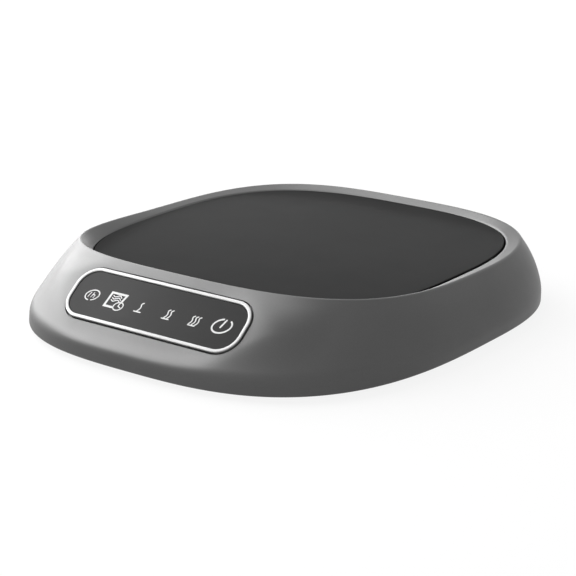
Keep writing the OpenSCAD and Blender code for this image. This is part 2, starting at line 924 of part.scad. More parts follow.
housing_shell();
base_cover();
rubber_feet();
case_screws();
trim_ring();
panel_lens();
light_baffle();
control_board();
indicator_leds();
touch_springs();
control_chip();
panel_connector();
control_board_screws();
power_board();
filter_capacitor();
terminal_block();
bridge_rectifier();
power_triac();
line_fuse();
regulator_chip();
board_connectors();
power_board_screws();
ribbon_cable();
weight_switch();
cord_gland();
cord_clamp();
cord_clamp_screws();
plate_glass();
glass_seal();
heat_spreader();
heater_element();
insulation_pad();
plate_carrier();
thermistor();
thermal_fuse();
sensor_straps();
strap_rivets();
plate_springs();
heater_leads();
switch_plunger();
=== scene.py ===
"""Looks of an electric mug warmer.

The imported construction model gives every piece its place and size. This script gives the visible
pieces their fine shapes and every piece its finish, and sets a plain studio round them. Shapes are
worked out in millimetres, in the model's own frame, and go into the meshes in metres.
"""

import json
import logging
import math
from dataclasses import dataclass, field
from enum import Enum

import bpy
import numpy as np
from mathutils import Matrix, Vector


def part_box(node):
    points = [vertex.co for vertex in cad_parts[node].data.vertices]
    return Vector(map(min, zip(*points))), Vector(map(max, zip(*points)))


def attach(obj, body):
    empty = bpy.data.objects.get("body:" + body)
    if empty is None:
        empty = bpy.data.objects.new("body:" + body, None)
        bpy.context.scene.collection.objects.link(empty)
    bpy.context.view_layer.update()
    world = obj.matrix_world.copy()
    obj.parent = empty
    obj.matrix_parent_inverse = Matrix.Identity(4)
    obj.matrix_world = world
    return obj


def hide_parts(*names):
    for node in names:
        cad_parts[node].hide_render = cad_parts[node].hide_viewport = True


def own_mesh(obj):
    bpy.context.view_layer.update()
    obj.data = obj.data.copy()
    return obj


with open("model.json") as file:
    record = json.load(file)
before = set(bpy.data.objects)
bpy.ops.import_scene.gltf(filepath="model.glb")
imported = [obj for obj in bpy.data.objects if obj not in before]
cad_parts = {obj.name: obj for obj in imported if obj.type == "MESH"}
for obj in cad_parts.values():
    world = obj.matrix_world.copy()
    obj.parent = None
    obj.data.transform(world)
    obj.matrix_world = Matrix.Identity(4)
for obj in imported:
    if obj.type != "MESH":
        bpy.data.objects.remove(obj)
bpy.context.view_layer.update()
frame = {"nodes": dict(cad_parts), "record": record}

MM = 0.001
log = logging.getLogger("mug_warmer")


def box_mm(node: str) -> tuple[np.ndarray, np.ndarray]:
    """The lowest and highest corner of a node of the construction model.

    Args:
        node: The node's name.

    Returns:
        Both corners in millimetres.
    """
    low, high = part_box(node)
    return np.array(low) / MM, np.array(high) / MM


# Places and heights, in millimetres. Z_EDGE is the housing's lower edge.
GLASS_LOW, GLASS_HIGH = box_mm("plate_glass")
PLATE_Y = (GLASS_LOW[1] + GLASS_HIGH[1]) / 2
Z_GLASS = GLASS_HIGH[2]
Z_GLASS_UNDER = GLASS_LOW[2]
Z_EDGE = box_mm("housing_shell")[0][2]
COVER_THICKNESS = 2
Z_FLOOR = box_mm("base_cover")[0][2] + COVER_THICKNESS
SIDES = (-1, 1)


# ---------------------------------------------------------------- meshes


@dataclass
class Shell:
    """A closed surface: its points in millimetres, and its faces in blocks of equally many corners.

    A block is an array of point numbers with a row for each face.
    """

    points: np.ndarray
    faces: list[np.ndarray]

    def volume(self) -> float:
        """The signed volume, positive where the faces point outwards.

        Each face is a fan of triangles about its first corner, and a triangle adds a sixth of the
        triple product of its corners.

        Returns:
            The volume in cubic millimetres.
        """
        total = 0.0
        for block in self.faces:
            corner = self.points[block]
            total += float((corner[:, :1] * np.cross(corner[:, 1:-1], corner[:, 2:])).sum()) / 6
        return total

    def outward(self) -> "Shell":
        """The same surface with its faces pointing outwards.

        Returns:
            This surface, or one whose faces run the other way round.
        """
        if self.volume() >= 0:
            return self
        return Shell(self.points, [block[:, ::-1] for block in self.faces])

    def moved(self, offset: tuple[float, float, float]) -> "Shell":
        """The same surface, moved by an offset in millimetres."""
        return Shell(self.points + np.array(offset, float), self.faces)


def grid_faces(rows: int, columns: int, loop_rows: bool) -> np.ndarray:
    """Four-sided faces of a grid of closed loops, whose points are numbered row by row.

    Args:
        rows: Number of loops.
        columns: Number of points in a loop.
        loop_rows: Whether the last loop joins the first.

    Returns:
        The faces, one in each row.
    """
    i, j = np.meshgrid(np.arange(rows if loop_rows else rows - 1), np.arange(columns), indexing="ij")
    below, beside = (i + 1) % rows, (j + 1) % columns
    quads = np.stack([i * columns + j, i * columns + beside, below * columns + beside,
                      below * columns + j], -1)
    return quads.reshape(-1, 4)


def capped(grid: np.ndarray) -> Shell:
    """A solid from loops of points stacked in rows, with a flat face over the first and the last.

    Args:
        grid: The points, by row and place in the loop.

    Returns:
        The solid.
    """
    rows, columns = grid.shape[:2]
    first = np.arange(columns)
    caps = np.stack([first[::-1], first + (rows - 1) * columns])
    return Shell(grid.reshape(-1, 3), [grid_faces(rows, columns, loop_rows=False), caps]).outward()


def looped(grid: np.ndarray) -> Shell:
    """A solid from loops of points, of which the last joins the first."""
    rows, columns = grid.shape[:2]
    return Shell(grid.reshape(-1, 3), [grid_faces(rows, columns, loop_rows=True)]).outward()


def poled(grid: np.ndarray, first: np.ndarray, last: np.ndarray) -> Shell:
    """A solid from loops of points in rows, closed by fans of triangles to a point at each end.

    Args:
        grid: The points, by row and place in the loop.
        first: The point that closes the first loop.
        last: The point that closes the last loop.

    Returns:
        The solid.
    """
    rows, columns = grid.shape[:2]
    here = np.arange(columns)
    beside = (here + 1) % columns
    pole, end = np.full(columns, rows * columns), (rows - 1) * columns
    fans = [np.stack([pole, beside, here], -1), np.stack([pole + 1, end + here, end + beside], -1)]
    faces = [grid_faces(rows, columns, loop_rows=False), *fans]
    return Shell(np.vstack([grid.reshape(-1, 3), first, last]), faces).outward()


def piece(name: str, shells: list[Shell], sharp: float = 35) -> bpy.types.Object:
    """A mesh object at the origin, shaded smooth up to an angle.

    Args:
        name: The piece's name.
        shells: Its closed surfaces.
        sharp: Edges that bend by more degrees than this are shown sharp.

    Returns:
        The object.
    """
    faces, start = [], 0
    for shell in shells:
        for block in shell.faces:
            faces += (block + start).tolist()
        start += len(shell.points)
    points = np.vstack([shell.points for shell in shells]) * MM
    mesh = bpy.data.meshes.new(name)
    mesh.from_pydata(points.tolist(), [], faces)
    mesh.shade_smooth()
    mesh.set_sharp_from_angle(angle=math.radians(sharp))
    made = bpy.data.objects.new(name, mesh)
    bpy.context.scene.collection.objects.link(made)
    return made


class Carving(Enum):
    """What a carving step does with its solids."""

    ADD = "UNION"
    TAKE = "DIFFERENCE"


def carve(body: bpy.types.Object, steps: list[tuple[Carving, list[Shell]]], sharp: float) -> None:
    """Adds solids to a body and takes others away, and keeps the result as its mesh.

    Args:
        body: The object to work on.
        steps: What is done, and the solids it is done with.
        sharp: Edges that bend by more degrees than this are shown sharp.
    """
    tools = []
    for carving, shells in steps:
        tool = piece("carving_tool", shells)
        modifier = body.modifiers.new(carving.name, "BOOLEAN")
        modifier.operation = carving.value
        modifier.solver = "EXACT"
        modifier.object = tool
        tools.append(tool)
    graph = bpy.context.evaluated_depsgraph_get()
    mesh = bpy.data.meshes.new_from_object(body.evaluated_get(graph), depsgraph=graph)
    body.modifiers.clear()
    body.data = mesh
    mesh.shade_smooth()
    mesh.set_sharp_from_angle(angle=math.radians(sharp))
    for tool in tools:
        bpy.data.objects.remove(tool)


def arc(centre: tuple[float, float], radius: float, start: float, end: float,
        steps: int) -> list[tuple[float, float]]:
    """Points on an arc: the centre plus the radius times the cosine and sine of each angle.

    Args:
        centre: The arc's centre.
        radius: Its radius.
        start: The first point's angle in degrees.
        end: The last point's angle in degrees.
        steps: Number of steps between them.

    Returns:
        The points, one more than the steps.
    """
    angle = np.radians(np.linspace(start, end, steps + 1))
    points = np.stack([centre[0] + radius * np.cos(angle), centre[1] + radius * np.sin(angle)], -1)
    return list(map(tuple, points.tolist()))


def bent(before: np.ndarray, corner: np.ndarray, after: np.ndarray, cut: np.ndarray | float,
         steps: int) -> np.ndarray:
    """A rounded corner: a quadratic curve between a point before the corner and one after it.

    Both points lie the cut away from the corner, or at its neighbour where that is nearer. At a
    share t of the way, the curve is start (1 - t)^2 + corner 2 t (1 - t) + end t^2.

    Args:
        before: The corner before, one in each row.
        corner: The corner itself in the same way.
        after: The corner after it.
        cut: The cut, one number or one for each row.
        steps: Steps on the curve.

    Returns:
        The points, by row and place on the curve.
    """
    ends = []
    for other in (before, after):
        reach = np.linalg.norm(other - corner, axis=1, keepdims=True)
        ends.append(corner + (other - corner) * np.minimum(1, cut / reach))
    return quadratic(ends[0], corner, ends[1], steps)


def quadratic(start: np.ndarray, corner: np.ndarray, end: np.ndarray, steps: int) -> np.ndarray:
    """Quadratic curves: start (1 - t)^2 + corner 2 t (1 - t) + end t^2 at even shares t.

    Args:
        start: Where each curve starts, one in each row.
        corner: The point that it bends towards.
        end: Where it ends.
        steps: Steps on the curve.

    Returns:
        The points, by row and place on the curve.
    """
    t = np.linspace(0, 1, steps + 1)[:, None]
    return start[:, None] * (1 - t) ** 2 + corner[:, None] * 2 * t * (1 - t) + end[:, None] * t**2


def lathe(profile: list[tuple[float, float]], sides: int = 72) -> Shell:
    """A turned solid about the Z axis: each point of the profile is a circle of radius r at height z.

    Args:
        profile: Points of r and z. A solid piece starts and ends on the axis, and a ring comes
            back to its start.
        sides: Points round each circle.

    Returns:
        The solid.
    """
    rows = np.array(profile, float)
    on_axis = rows[0, 0] == 0
    poles = np.array([[0, 0, rows[0, 1]], [0, 0, rows[-1, 1]]])
    if on_axis:
        rows = rows[1:-1]
    angle = np.linspace(0, 2 * math.pi, sides, endpoint=False)
    circle = np.stack([np.cos(angle), np.sin(angle)], -1)
    grid = np.concatenate([rows[:, None, :1] * circle[None],
                           np.broadcast_to(rows[:, None, 1:], (len(rows), sides, 1))], -1)
    return poled(grid, poles[:1], poles[1:]) if on_axis else looped(grid)


def post(radius: float, low: float, high: float, sides: int = 40) -> Shell:
    """A plain round post about the Z axis, for carving."""
    return lathe([(0, low), (radius, low), (radius, high), (0, high)], sides)


def along_y(shell: Shell, height: float) -> Shell:
    """A solid made about the Z axis, laid along +Y at a height."""
    x, y, z = shell.points.T
    return Shell(np.stack([x, z, height - y], -1), shell.faces).outward()


def tube(path: np.ndarray, radius: float, axis: tuple[float, float, float], sides: int) -> Shell:
    """A round wire along a path, with rounded ends.

    At each point a circle stands square to the path. It is drawn between two directions: one
    square to both the path and the axis, and one square to the path and the first. Half a radius
    past both ends, the wire closes in a point.

    Args:
        path: Points in millimetres, close together, nowhere running along the axis.
        radius: The wire's radius.
        axis: The direction that the circles keep to.
        sides: Points round the wire.

    Returns:
        The solid.
    """
    along = np.gradient(path, axis=0)
    along /= np.linalg.norm(along, axis=1, keepdims=True)
    side = np.cross(along, axis)
    side /= np.linalg.norm(side, axis=1, keepdims=True)
    up = np.cross(along, side)
    angle = np.linspace(0, 2 * math.pi, sides, endpoint=False)
    grid = path[:, None] + radius * (np.cos(angle)[None, :, None] * side[:, None]
                                     + np.sin(angle)[None, :, None] * up[:, None])
    nose = radius / 2
    return poled(grid, path[:1] - along[:1] * nose, path[-1:] + along[-1:] * nose)


def coil(radius: float, wire: float, low: float, high: float, turns: float, level: float = 0.5,
         soft: float = 0.15, steps: int = 28) -> np.ndarray:
    """The centre line of a compression spring whose first and last turns lie closed.

    The angle grows evenly. The height stays level at both ends, and between them it follows the
    turns, with a share of a soft step that eases the start and the end.

    Args:
        radius: Radius of the coil at the middle of the wire.
        wire: Radius of the wire.
        low: Height of the spring's lower face.
        high: Height of its upper face.
        turns: Number of turns.
        level: How much of a turn lies level at each end.
        soft: Share of the soft step.
        steps: Points for each turn.

    Returns:
        The points.
    """
    share = np.linspace(0, 1, int(turns * steps) + 1)
    even = np.clip((share - level / turns) / (1 - 2 * level / turns), 0, 1)
    height = low + wire + (high - low - 2 * wire) * ((1 - soft) * even + soft * smooth(0, 1, even))
    angle = 2 * math.pi * turns * share
    return np.stack([radius * np.cos(angle), radius * np.sin(angle), height], -1)


def smooth(low: float | np.ndarray, high: float | np.ndarray, x: np.ndarray) -> np.ndarray:
    """A soft step from 0 at low to 1 at high: t t (3 - 2 t), where t is the share of the way."""
    t = np.clip((x - low) / (high - low), 0, 1)
    return t * t * (3 - 2 * t)


# ---------------------------------------------------------------- outlines


@dataclass(frozen=True)
class Outline:
    """A rounded square seen from above, in millimetres from the plate's centre.

    The radius at an angle is (|cos / half_width|^n + |sin / reach|^n)^(-1/n), where the reach in
    front of the centre differs from the one behind it.
    """

    half_width: float
    forward: float
    back: float
    power: float

    def radius(self, angle: np.ndarray) -> np.ndarray:
        """The distance from the centre at each angle.

        Args:
            angle: Angles in radians, from +X round to +Y.

        Returns:
            The distances.
        """
        reach = np.where(np.sin(angle) < 0, self.forward, self.back)
        across = np.abs(np.cos(angle)) / self.half_width
        along = np.abs(np.sin(angle)) / reach
        return (across**self.power + along**self.power) ** (-1 / self.power)


PLATE_OUTLINE = Outline(half_width=55, forward=55.8, back=55.8, power=2.95)


@dataclass(frozen=True)
class RoundedBox:
    """A flat rectangle with round corners, about its own centre."""

    width: float
    height: float
    corner: float

    def loop(self, inset: float = 0, arc_steps: int = 20, long: int = 48, short: int = 8) -> np.ndarray:
        """Points round the rectangle, drawn in by an inset.

        Each corner is an arc about a fixed centre, and the straight sides between them are cut
        into even steps.

        Args:
            inset: How far inside the outline the loop lies.
            arc_steps: Steps on each corner.
            long: Steps on the sides along X.
            short: Steps on the other sides.

        Returns:
            Points with two coordinates, anticlockwise.
        """
        across, up = self.width / 2 - self.corner, self.height / 2 - self.corner
        centres = ((across, up), (-across, up), (-across, -up), (across, -up))
        bends = [np.array(arc(centre, self.corner - inset, 90 * k, 90 * (k + 1), arc_steps))
                 for k, centre in enumerate(centres)]
        points = []
        for k, steps in enumerate((long, short, long, short)):
            t = np.linspace(0, 1, steps + 1)[1:-1, None]
            points += [bends[k], bends[k][-1] * (1 - t) + bends[(k + 1) % 4][0] * t]
        return np.vstack(points)


def layered(box: RoundedBox, rows: list[tuple[float, float]], **steps: int) -> np.ndarray:
    """Loops of a rounded rectangle, one above the other.

    Args:
        box: The rectangle.
        rows: The inset and the height of each loop.
        steps: Steps on the corners and sides, as RoundedBox.loop takes them.

    Returns:
        The points, by row and place in the loop.
    """
    loops = [(box.loop(inset, **steps), height) for inset, height in rows]
    return np.stack([np.column_stack([loop, np.full(len(loop), height)]) for loop, height in loops])


@dataclass(frozen=True)
class Panel:
    """The plane of the control panel: X along it, U up the slope and O out of it."""

    centre: np.ndarray
    tilt: float

    @property
    def up(self) -> np.ndarray:
        """The direction up the slope, in the YZ plane."""
        return np.array([math.cos(self.tilt), math.sin(self.tilt)])

    @property
    def out(self) -> np.ndarray:
        """The direction out of the slope, in the YZ plane."""
        return np.array([-math.sin(self.tilt), math.cos(self.tilt)])

    def place(self, points: np.ndarray) -> np.ndarray:
        """Points of the panel in the model's frame: the centre plus U times up plus O times out.

        Args:
            points: Points given as X, U and O.

        Returns:
            The same points as X, Y and Z.
        """
        depth = self.centre + points[..., 1:2] * self.up + points[..., 2:3] * self.out
        return np.concatenate([points[..., :1], depth[..., :1] + PLATE_Y, depth[..., 1:]], -1)

    def placed(self, shell: Shell) -> Shell:
        """A solid given in the panel's own directions, in the model's frame."""
        return Shell(self.place(shell.points), shell.faces).outward()


# ---------------------------------------------------------------- shader groups

# Each band is a stretch of the noise's values that a soft step carries to 0 and 1.
PATCH_BAND = (0.3, 0.7)
SPECK_BAND = (0.38, 0.62)
RUB_BAND = (0.52, 0.72)
DUST_BAND = (0.62, 0.78)
FILM_BAND = (0.35, 0.75)

# Scales count by the metre, and the waver is in metres.
RUB_STRETCH = (60, 900, 900)
RUB_REACH = 1.2
FILM_SCALE = 35.0
FILM_SHARE = 0.25
LEAST_FACING = 0.55
WAVER_SCALE = 400.0
WAVER = 0.0001
STRIPE_EDGE = 0.06

Input = float | tuple | bpy.types.NodeSocket


class Kind(Enum):
    """The kinds of socket that the node groups use."""

    NUMBER = "NodeSocketFloat"
    COLOUR = "NodeSocketColor"


class Effect(Enum):
    """The effects that finishes share, each a node group of this name."""

    DRIFT = "tone_drift"
    SHEEN = "rubbed_gloss"
    GRAIN = "fine_grain"
    DUST = "settled_dust"
    STRIPES = "even_stripes"


def add_node(tree: bpy.types.NodeTree, kind: str, links: dict[int | str, Input],
             **settings: str) -> bpy.types.Node:
    """Adds a node to a tree.

    Args:
        tree: The tree.
        kind: The node's type name.
        links: For each input, by name or number, a socket to link or a value to set.
        settings: Properties of the node.

    Returns:
        The node.
    """
    node = tree.nodes.new(kind)
    for key, value in settings.items():
        setattr(node, key, value)
    for key, value in links.items():
        if isinstance(value, bpy.types.NodeSocket):
            tree.links.new(value, node.inputs[key])
        else:
            node.inputs[key].default_value = value
    return node


def add_mix(tree: bpy.types.NodeTree, share: Input, first: Input, second: Input) -> bpy.types.NodeSocket:
    """A colour between two colours, in any tree."""
    return add_node(tree, "ShaderNodeMix", {0: share, 6: first, 7: second}, data_type="RGBA").outputs[2]


class Group:
    """A shader node group in the making, with short calls for its nodes and sockets."""

    def __init__(self, effect: Effect, inputs: dict[str, float | tuple], output: str, kind: Kind) -> None:
        """Makes the group's tree and its sockets.

        Args:
            effect: The effect that the group makes.
            inputs: For each input its default, a number or a colour.
            output: The output's name.
            kind: The output's kind.
        """
        self.tree = bpy.data.node_groups.new(effect.value, "ShaderNodeTree")
        for key, value in inputs.items():
            taken = Kind.COLOUR if isinstance(value, tuple) else Kind.NUMBER
            socket = self.tree.interface.new_socket(key, in_out="INPUT", socket_type=taken.value)
            socket.default_value = value
        self.tree.interface.new_socket(output, in_out="OUTPUT", socket_type=kind.value)
        self.given = self.tree.nodes.new("NodeGroupInput").outputs
        self.made = self.tree.nodes.new("NodeGroupOutput").inputs
        self.place = self.tree.nodes.new("ShaderNodeTexCoord").outputs["Object"]

    def node(self, kind: str, links: dict[int | str, Input], **settings: str) -> bpy.types.Node:
        """A node with its settings, each input either linked or given a value."""
        return add_node(self.tree, kind, links, **settings)

    def noise(self, scale: Input, detail: float = 2, roughness: float = 0.5,
              place: bpy.types.NodeSocket | None = None) -> bpy.types.NodeSocket:
        """Noise in the object's own space, 0 to 1, or at another place where one is given."""
        links = {"Vector": place or self.place, "Scale": scale, "Detail": detail, "Roughness": roughness}
        return self.node("ShaderNodeTexNoise", links).outputs["Fac"]

    def math(self, operation: str, first: Input, second: Input) -> bpy.types.NodeSocket:
        """The result of one arithmetic step."""
        return self.node("ShaderNodeMath", {0: first, 1: second}, operation=operation).outputs[0]

    def span(self, value: Input, low: Input, high: Input, to_low: Input = 0.0,
             to_high: Input = 1.0) -> bpy.types.NodeSocket:
        """A value carried from one range to another by a soft step."""
        links = {"Value": value, "From Min": low, "From Max": high, "To Min": to_low, "To Max": to_high}
        return self.node("ShaderNodeMapRange", links, interpolation_type="SMOOTHSTEP").outputs["Result"]

    def between(self, share: Input, first: Input, second: Input) -> bpy.types.NodeSocket:
        """A number between two numbers."""
        return self.node("ShaderNodeMix", {0: share, 2: first, 3: second}, data_type="FLOAT").outputs[0]

    def closed(self, value: bpy.types.NodeSocket) -> bpy.types.NodeTree:
        """Links the result to the group's output and hands the group over."""
        self.tree.links.new(value, self.made[0])
        return self.tree


def drift_group() -> bpy.types.NodeTree:
    """Colour that wanders between two tones.

    The share of the second tone is a slow noise, mixed with a fine one by the share of specks.

    Returns:
        The group.
    """
    group = Group(Effect.DRIFT, {"Tone": (0.5, 0.5, 0.5, 1), "Other Tone": (0.4, 0.4, 0.4, 1),
                                 "Patch Scale": 40.0, "Speck Scale": 2500.0, "Speck Share": 0.3},
                  "Color", Kind.COLOUR)
    given = group.given
    slow = group.span(group.noise(given["Patch Scale"], 3, 0.55), *PATCH_BAND)
    fine = group.span(group.noise(given["Speck Scale"], 1, 0.6), *SPECK_BAND)
    share = group.between(given["Speck Share"], slow, fine)
    return group.closed(add_mix(group.tree, share, given["Tone"], given["Other Tone"]))


def sheen_group() -> bpy.types.NodeTree:
    """Roughness that varies in soft patches, with faint rub marks drawn out along X.

    The patches' noise, plus a share of a stretched noise for the marks, runs from smooth to rough.

    Returns:
        The group.
    """
    group = Group(Effect.SHEEN, {"Smooth": 0.3, "Rough": 0.4, "Patch Scale": 30.0, "Rub": 0.3},
                  "Roughness", Kind.NUMBER)
    given = group.given
    patches = group.span(group.noise(given["Patch Scale"], 4, 0.6), *PATCH_BAND)
    drawn = group.node("ShaderNodeMapping", {"Vector": group.place, "Scale": RUB_STRETCH}).outputs[0]
    marks = group.span(group.noise(1.0, 3, 0.7, drawn), *RUB_BAND)
    share = group.math("ADD", patches, group.math("MULTIPLY", marks, given["Rub"]))
    return group.closed(group.span(share, 0.0, RUB_REACH, given["Smooth"], given["Rough"]))


def grain_group() -> bpy.types.NodeTree:
    """Height of a moulded or sprayed grain: fine noise, mixed with a wider orange peel by its share.

    Returns:
        The group.
    """
    group = Group(Effect.GRAIN, {"Grain Scale": 2000.0, "Peel Scale": 300.0, "Peel Share": 0.3},
                  "Height", Kind.NUMBER)
    given = group.given
    grain = group.noise(given["Grain Scale"], 2, 0.5)
    peel = group.noise(given["Peel Scale"], 1, 0.5)
    return group.closed(group.between(given["Peel Share"], grain, peel))


def dust_group() -> bpy.types.NodeTree:
    """A mask of sparse settled dust, 0 to 1.

    Specks and a faint film are added, times how much the face looks up, times the amount.

    Returns:
        The group.
    """
    group = Group(Effect.DUST, {"Amount": 0.3, "Scale": 900.0}, "Mask", Kind.NUMBER)
    given = group.given
    normal = group.node("ShaderNodeNewGeometry", {}).outputs["Normal"]
    up = group.node("ShaderNodeSeparateXYZ", {0: normal}).outputs["Z"]
    facing = group.span(up, LEAST_FACING, 1.0)
    specks = group.span(group.noise(given["Scale"], 3, 0.7), *DUST_BAND)
    film = group.span(group.noise(FILM_SCALE, 3, 0.6), *FILM_BAND, 0.0, FILM_SHARE)
    settled = group.math("MULTIPLY", group.math("ADD", specks, film), facing)
    return group.closed(group.math("MULTIPLY", settled, given["Amount"]))


def stripe_group() -> bpy.types.NodeTree:
    """A mask of parallel stripes across X, 0 to 1.

    X plus a slight waver, over the pitch, is folded to and fro between 0 and a half. The mask is 1
    where that is under half the stripes' share.

    Returns:
        The group.
    """
    group = Group(Effect.STRIPES, {"Pitch": 0.001, "Share": 0.5}, "Mask", Kind.NUMBER)
    given = group.given
    across = group.node("ShaderNodeSeparateXYZ", {0: group.place}).outputs["X"]
    waver = group.math("MULTIPLY", group.noise(WAVER_SCALE, 1), WAVER)
    turns = group.math("DIVIDE", group.math("ADD", across, waver), given["Pitch"])
    folded = group.math("PINGPONG", turns, 0.5)
    half = group.math("MULTIPLY", given["Share"], 0.5)
    inner, outer = (group.math(step, half, STRIPE_EDGE) for step in ("SUBTRACT", "ADD"))
    return group.closed(group.span(folded, inner, outer, 1.0, 0.0))


# ---------------------------------------------------------------- finishes

Colour = tuple[float, float, float]
DUST_COLOUR = (0.5, 0.48, 0.45, 1)


@dataclass(frozen=True)
class Tone:
    """A colour and a second one that it drifts towards, as linear red, green and blue.

    Patches and specks are given as how many there are to the metre.
    """

    main: Colour
    other: Colour
    patch: float
    speck: float
    share: float = 0.3


@dataclass(frozen=True)
class Finish:
    """A finish: tone, gloss between two roughnesses, and grain by the metre, its depth in metres."""

    name: str
    tone: Tone
    smooth: float
    rough: float
    grain: float
    depth: float
    strength: float
    rub: float = 0.3
    metallic: float = 0.0
    peel: float = 300
    peel_share: float = 0.3
    dust: float = 0.0
    settings: dict[str, float] = field(default_factory=dict)

    def material(self, library: "Library") -> bpy.types.Material:
        """The finish as a material.

        Args:
            library: The shared node groups.

        Returns:
            The material.
        """
        made = bpy.data.materials.new(self.name)
        made.use_nodes = True
        tree = made.node_tree
        shader = tree.nodes["Principled BSDF"]
        tone = library.use(tree, Effect.DRIFT, {
            "Tone": (*self.tone.main, 1), "Other Tone": (*self.tone.other, 1),
            "Patch Scale": self.tone.patch, "Speck Scale": self.tone.speck,
            "Speck Share": self.tone.share})
        colour = self.marked(library, tree, tone)
        if self.dust:
            mask = library.use(tree, Effect.DUST, {"Amount": self.dust})
            colour = add_mix(tree, mask, colour, DUST_COLOUR)
        tree.links.new(colour, shader.inputs["Base Color"])
        gloss = library.use(tree, Effect.SHEEN, {
            "Smooth": self.smooth, "Rough": self.rough, "Rub": self.rub})
        tree.links.new(gloss, shader.inputs["Roughness"])
        height = library.use(tree, Effect.GRAIN, {
            "Grain Scale": self.grain, "Peel Scale": self.peel, "Peel Share": self.peel_share})
        bump = add_node(tree, "ShaderNodeBump", {
            "Height": height, "Strength": self.strength, "Distance": self.depth})
        tree.links.new(bump.outputs["Normal"], shader.inputs["Normal"])
        shader.inputs["Metallic"].default_value = self.metallic
        for key, value in self.settings.items():
            shader.inputs[key].default_value = value
        made.diffuse_color = (*self.tone.main, 1)
        return made

    def marked(self, library: "Library", tree: bpy.types.NodeTree,
               colour: bpy.types.NodeSocket) -> bpy.types.NodeSocket:
        """The colour with the finish's own markings, of which a plain finish has none."""
        return colour


@dataclass(frozen=True)
class StripedFinish(Finish):
    """A finish with even stripes across X, such as conductors in a flat cable."""

    stripe: Colour = (0.1, 0.1, 0.1)
    pitch: float = 0.001
    stripe_share: float = 0.4

    def marked(self, library: "Library", tree: bpy.types.NodeTree,
               colour: bpy.types.NodeSocket) -> bpy.types.NodeSocket:
        """The colour with its stripes."""
        mask = library.use(tree, Effect.STRIPES, {"Pitch": self.pitch, "Share": self.stripe_share})
        return add_mix(tree, mask, colour, (*self.stripe, 1))


class Library:
    """The shared node groups and the materials made with them, by name."""

    def __init__(self) -> None:
        """Makes the groups."""
        self.groups = {Effect.DRIFT: drift_group(), Effect.SHEEN: sheen_group(),
                       Effect.GRAIN: grain_group(), Effect.DUST: dust_group(),
                       Effect.STRIPES: stripe_group()}
        self.made: dict[str, bpy.types.Material] = {}

    def use(self, tree: bpy.types.NodeTree, effect: Effect,
            values: dict[str, float | tuple]) -> bpy.types.NodeSocket:
        """Places a group in a material's tree.

        Args:
            tree: The material's tree.
            effect: Which group it is.
            values: What its inputs are set to.

        Returns:
            The group's output.
        """
        node = tree.nodes.new("ShaderNodeGroup")
        node.node_tree = self.groups[effect]
        for key, value in values.items():
            node.inputs[key].default_value = value
        return node.outputs[0]

    def dress(self, target: bpy.types.Object, finish: Finish) -> None:
        """Gives an object one finish all over.

        Args:
            target: The object.
            finish: Its finish, whose material is made at its first use.
        """
        if finish.name not in self.made:
            self.made[finish.name] = finish.material(self)
        target.data.materials.clear()
        target.data.materials.append(self.made[finish.name])


def grey(value: float, warm: float = 0.0) -> Colour:
    """A grey, warmed a little or not at all."""
    return (value * (1 + warm), value, value * (1 - warm))


PAINT = Finish(
    "satin_grey_paint", Tone(grey(0.088), grey(0.08), patch=25, speck=3500, share=0.55),
    smooth=0.42, rough=0.48, rub=0.15, metallic=0.75, grain=2600, peel=420, peel_share=0.25,
    depth=0.00001, strength=0.18, dust=0.02)
TRIM = Finish(
    "bright_trim", Tone(grey(0.25), grey(0.23), patch=60, speck=3000),
    smooth=0.32, rough=0.44, rub=0.2, metallic=0.6, grain=3000, peel=500, depth=0.000005, strength=0.1)
LENS = Finish(
    "smoked_lens", Tone(grey(0.01), grey(0.008), patch=60, speck=3000),
    smooth=0.16, rough=0.24, rub=0.4, grain=1500, peel=250, peel_share=0.8, depth=0.000003,
    strength=0.06, dust=0.02, settings={"Specular IOR Level": 0.08})
PRINT = Finish(
    "white_print", Tone(grey(0.62), grey(0.57), patch=90, speck=4000, share=0.4),
    smooth=0.4, rough=0.5, rub=0.2, grain=4000, depth=0.000003, strength=0.1)
GLASS = Finish(
    "black_glass", Tone(grey(0.013), grey(0.0115), patch=30, speck=1800),
    smooth=0.29, rough=0.33, rub=0.0, grain=1600, peel=200, peel_share=0.4, depth=0.000001,
    strength=0.03, dust=0.004, settings={"Specular IOR Level": 0.008})
RUBBER = Finish(
    "foot_rubber", Tone(grey(0.025), grey(0.035), patch=80, speck=2500, share=0.5),
    smooth=0.7, rough=0.85, rub=0.2, grain=1800, depth=0.00003, strength=0.35, dust=0.2)
GROMMET = Finish(
    "grommet_rubber", Tone(grey(0.02), grey(0.03), patch=80, speck=2500, share=0.5),
    smooth=0.5, rough=0.62, rub=0.2, grain=1800, depth=0.00002, strength=0.3)
BASE = Finish(
    "base_plastic", Tone(grey(0.035), grey(0.045), patch=50, speck=2200, share=0.4),
    smooth=0.5, rough=0.62, grain=1400, depth=0.00004, strength=0.4, dust=0.1)
STEEL = Finish(
    "zinc_steel", Tone(grey(0.62, -0.01), (0.5, 0.47, 0.36), patch=200, speck=2500),
    smooth=0.3, rough=0.45, rub=0.6, metallic=1.0, grain=2500, depth=0.00001, strength=0.2)
SPRING = Finish(
    "spring_steel", Tone(grey(0.45), grey(0.38), patch=300, speck=3000, share=0.4),
    smooth=0.25, rough=0.38, rub=0.6, metallic=1.0, grain=3000, depth=0.000008, strength=0.2)
WHITE = Finish(
    "white_plastic", Tone(grey(0.8, 0.01), grey(0.74, 0.02), patch=60, speck=2000),
    smooth=0.4, rough=0.5, grain=1500, depth=0.00002, strength=0.2)
NYLON = Finish(
    "natural_nylon", Tone((0.74, 0.71, 0.62), (0.66, 0.62, 0.52), patch=90, speck=2000),
    smooth=0.35, rough=0.5, grain=1500, depth=0.00002, strength=0.2)
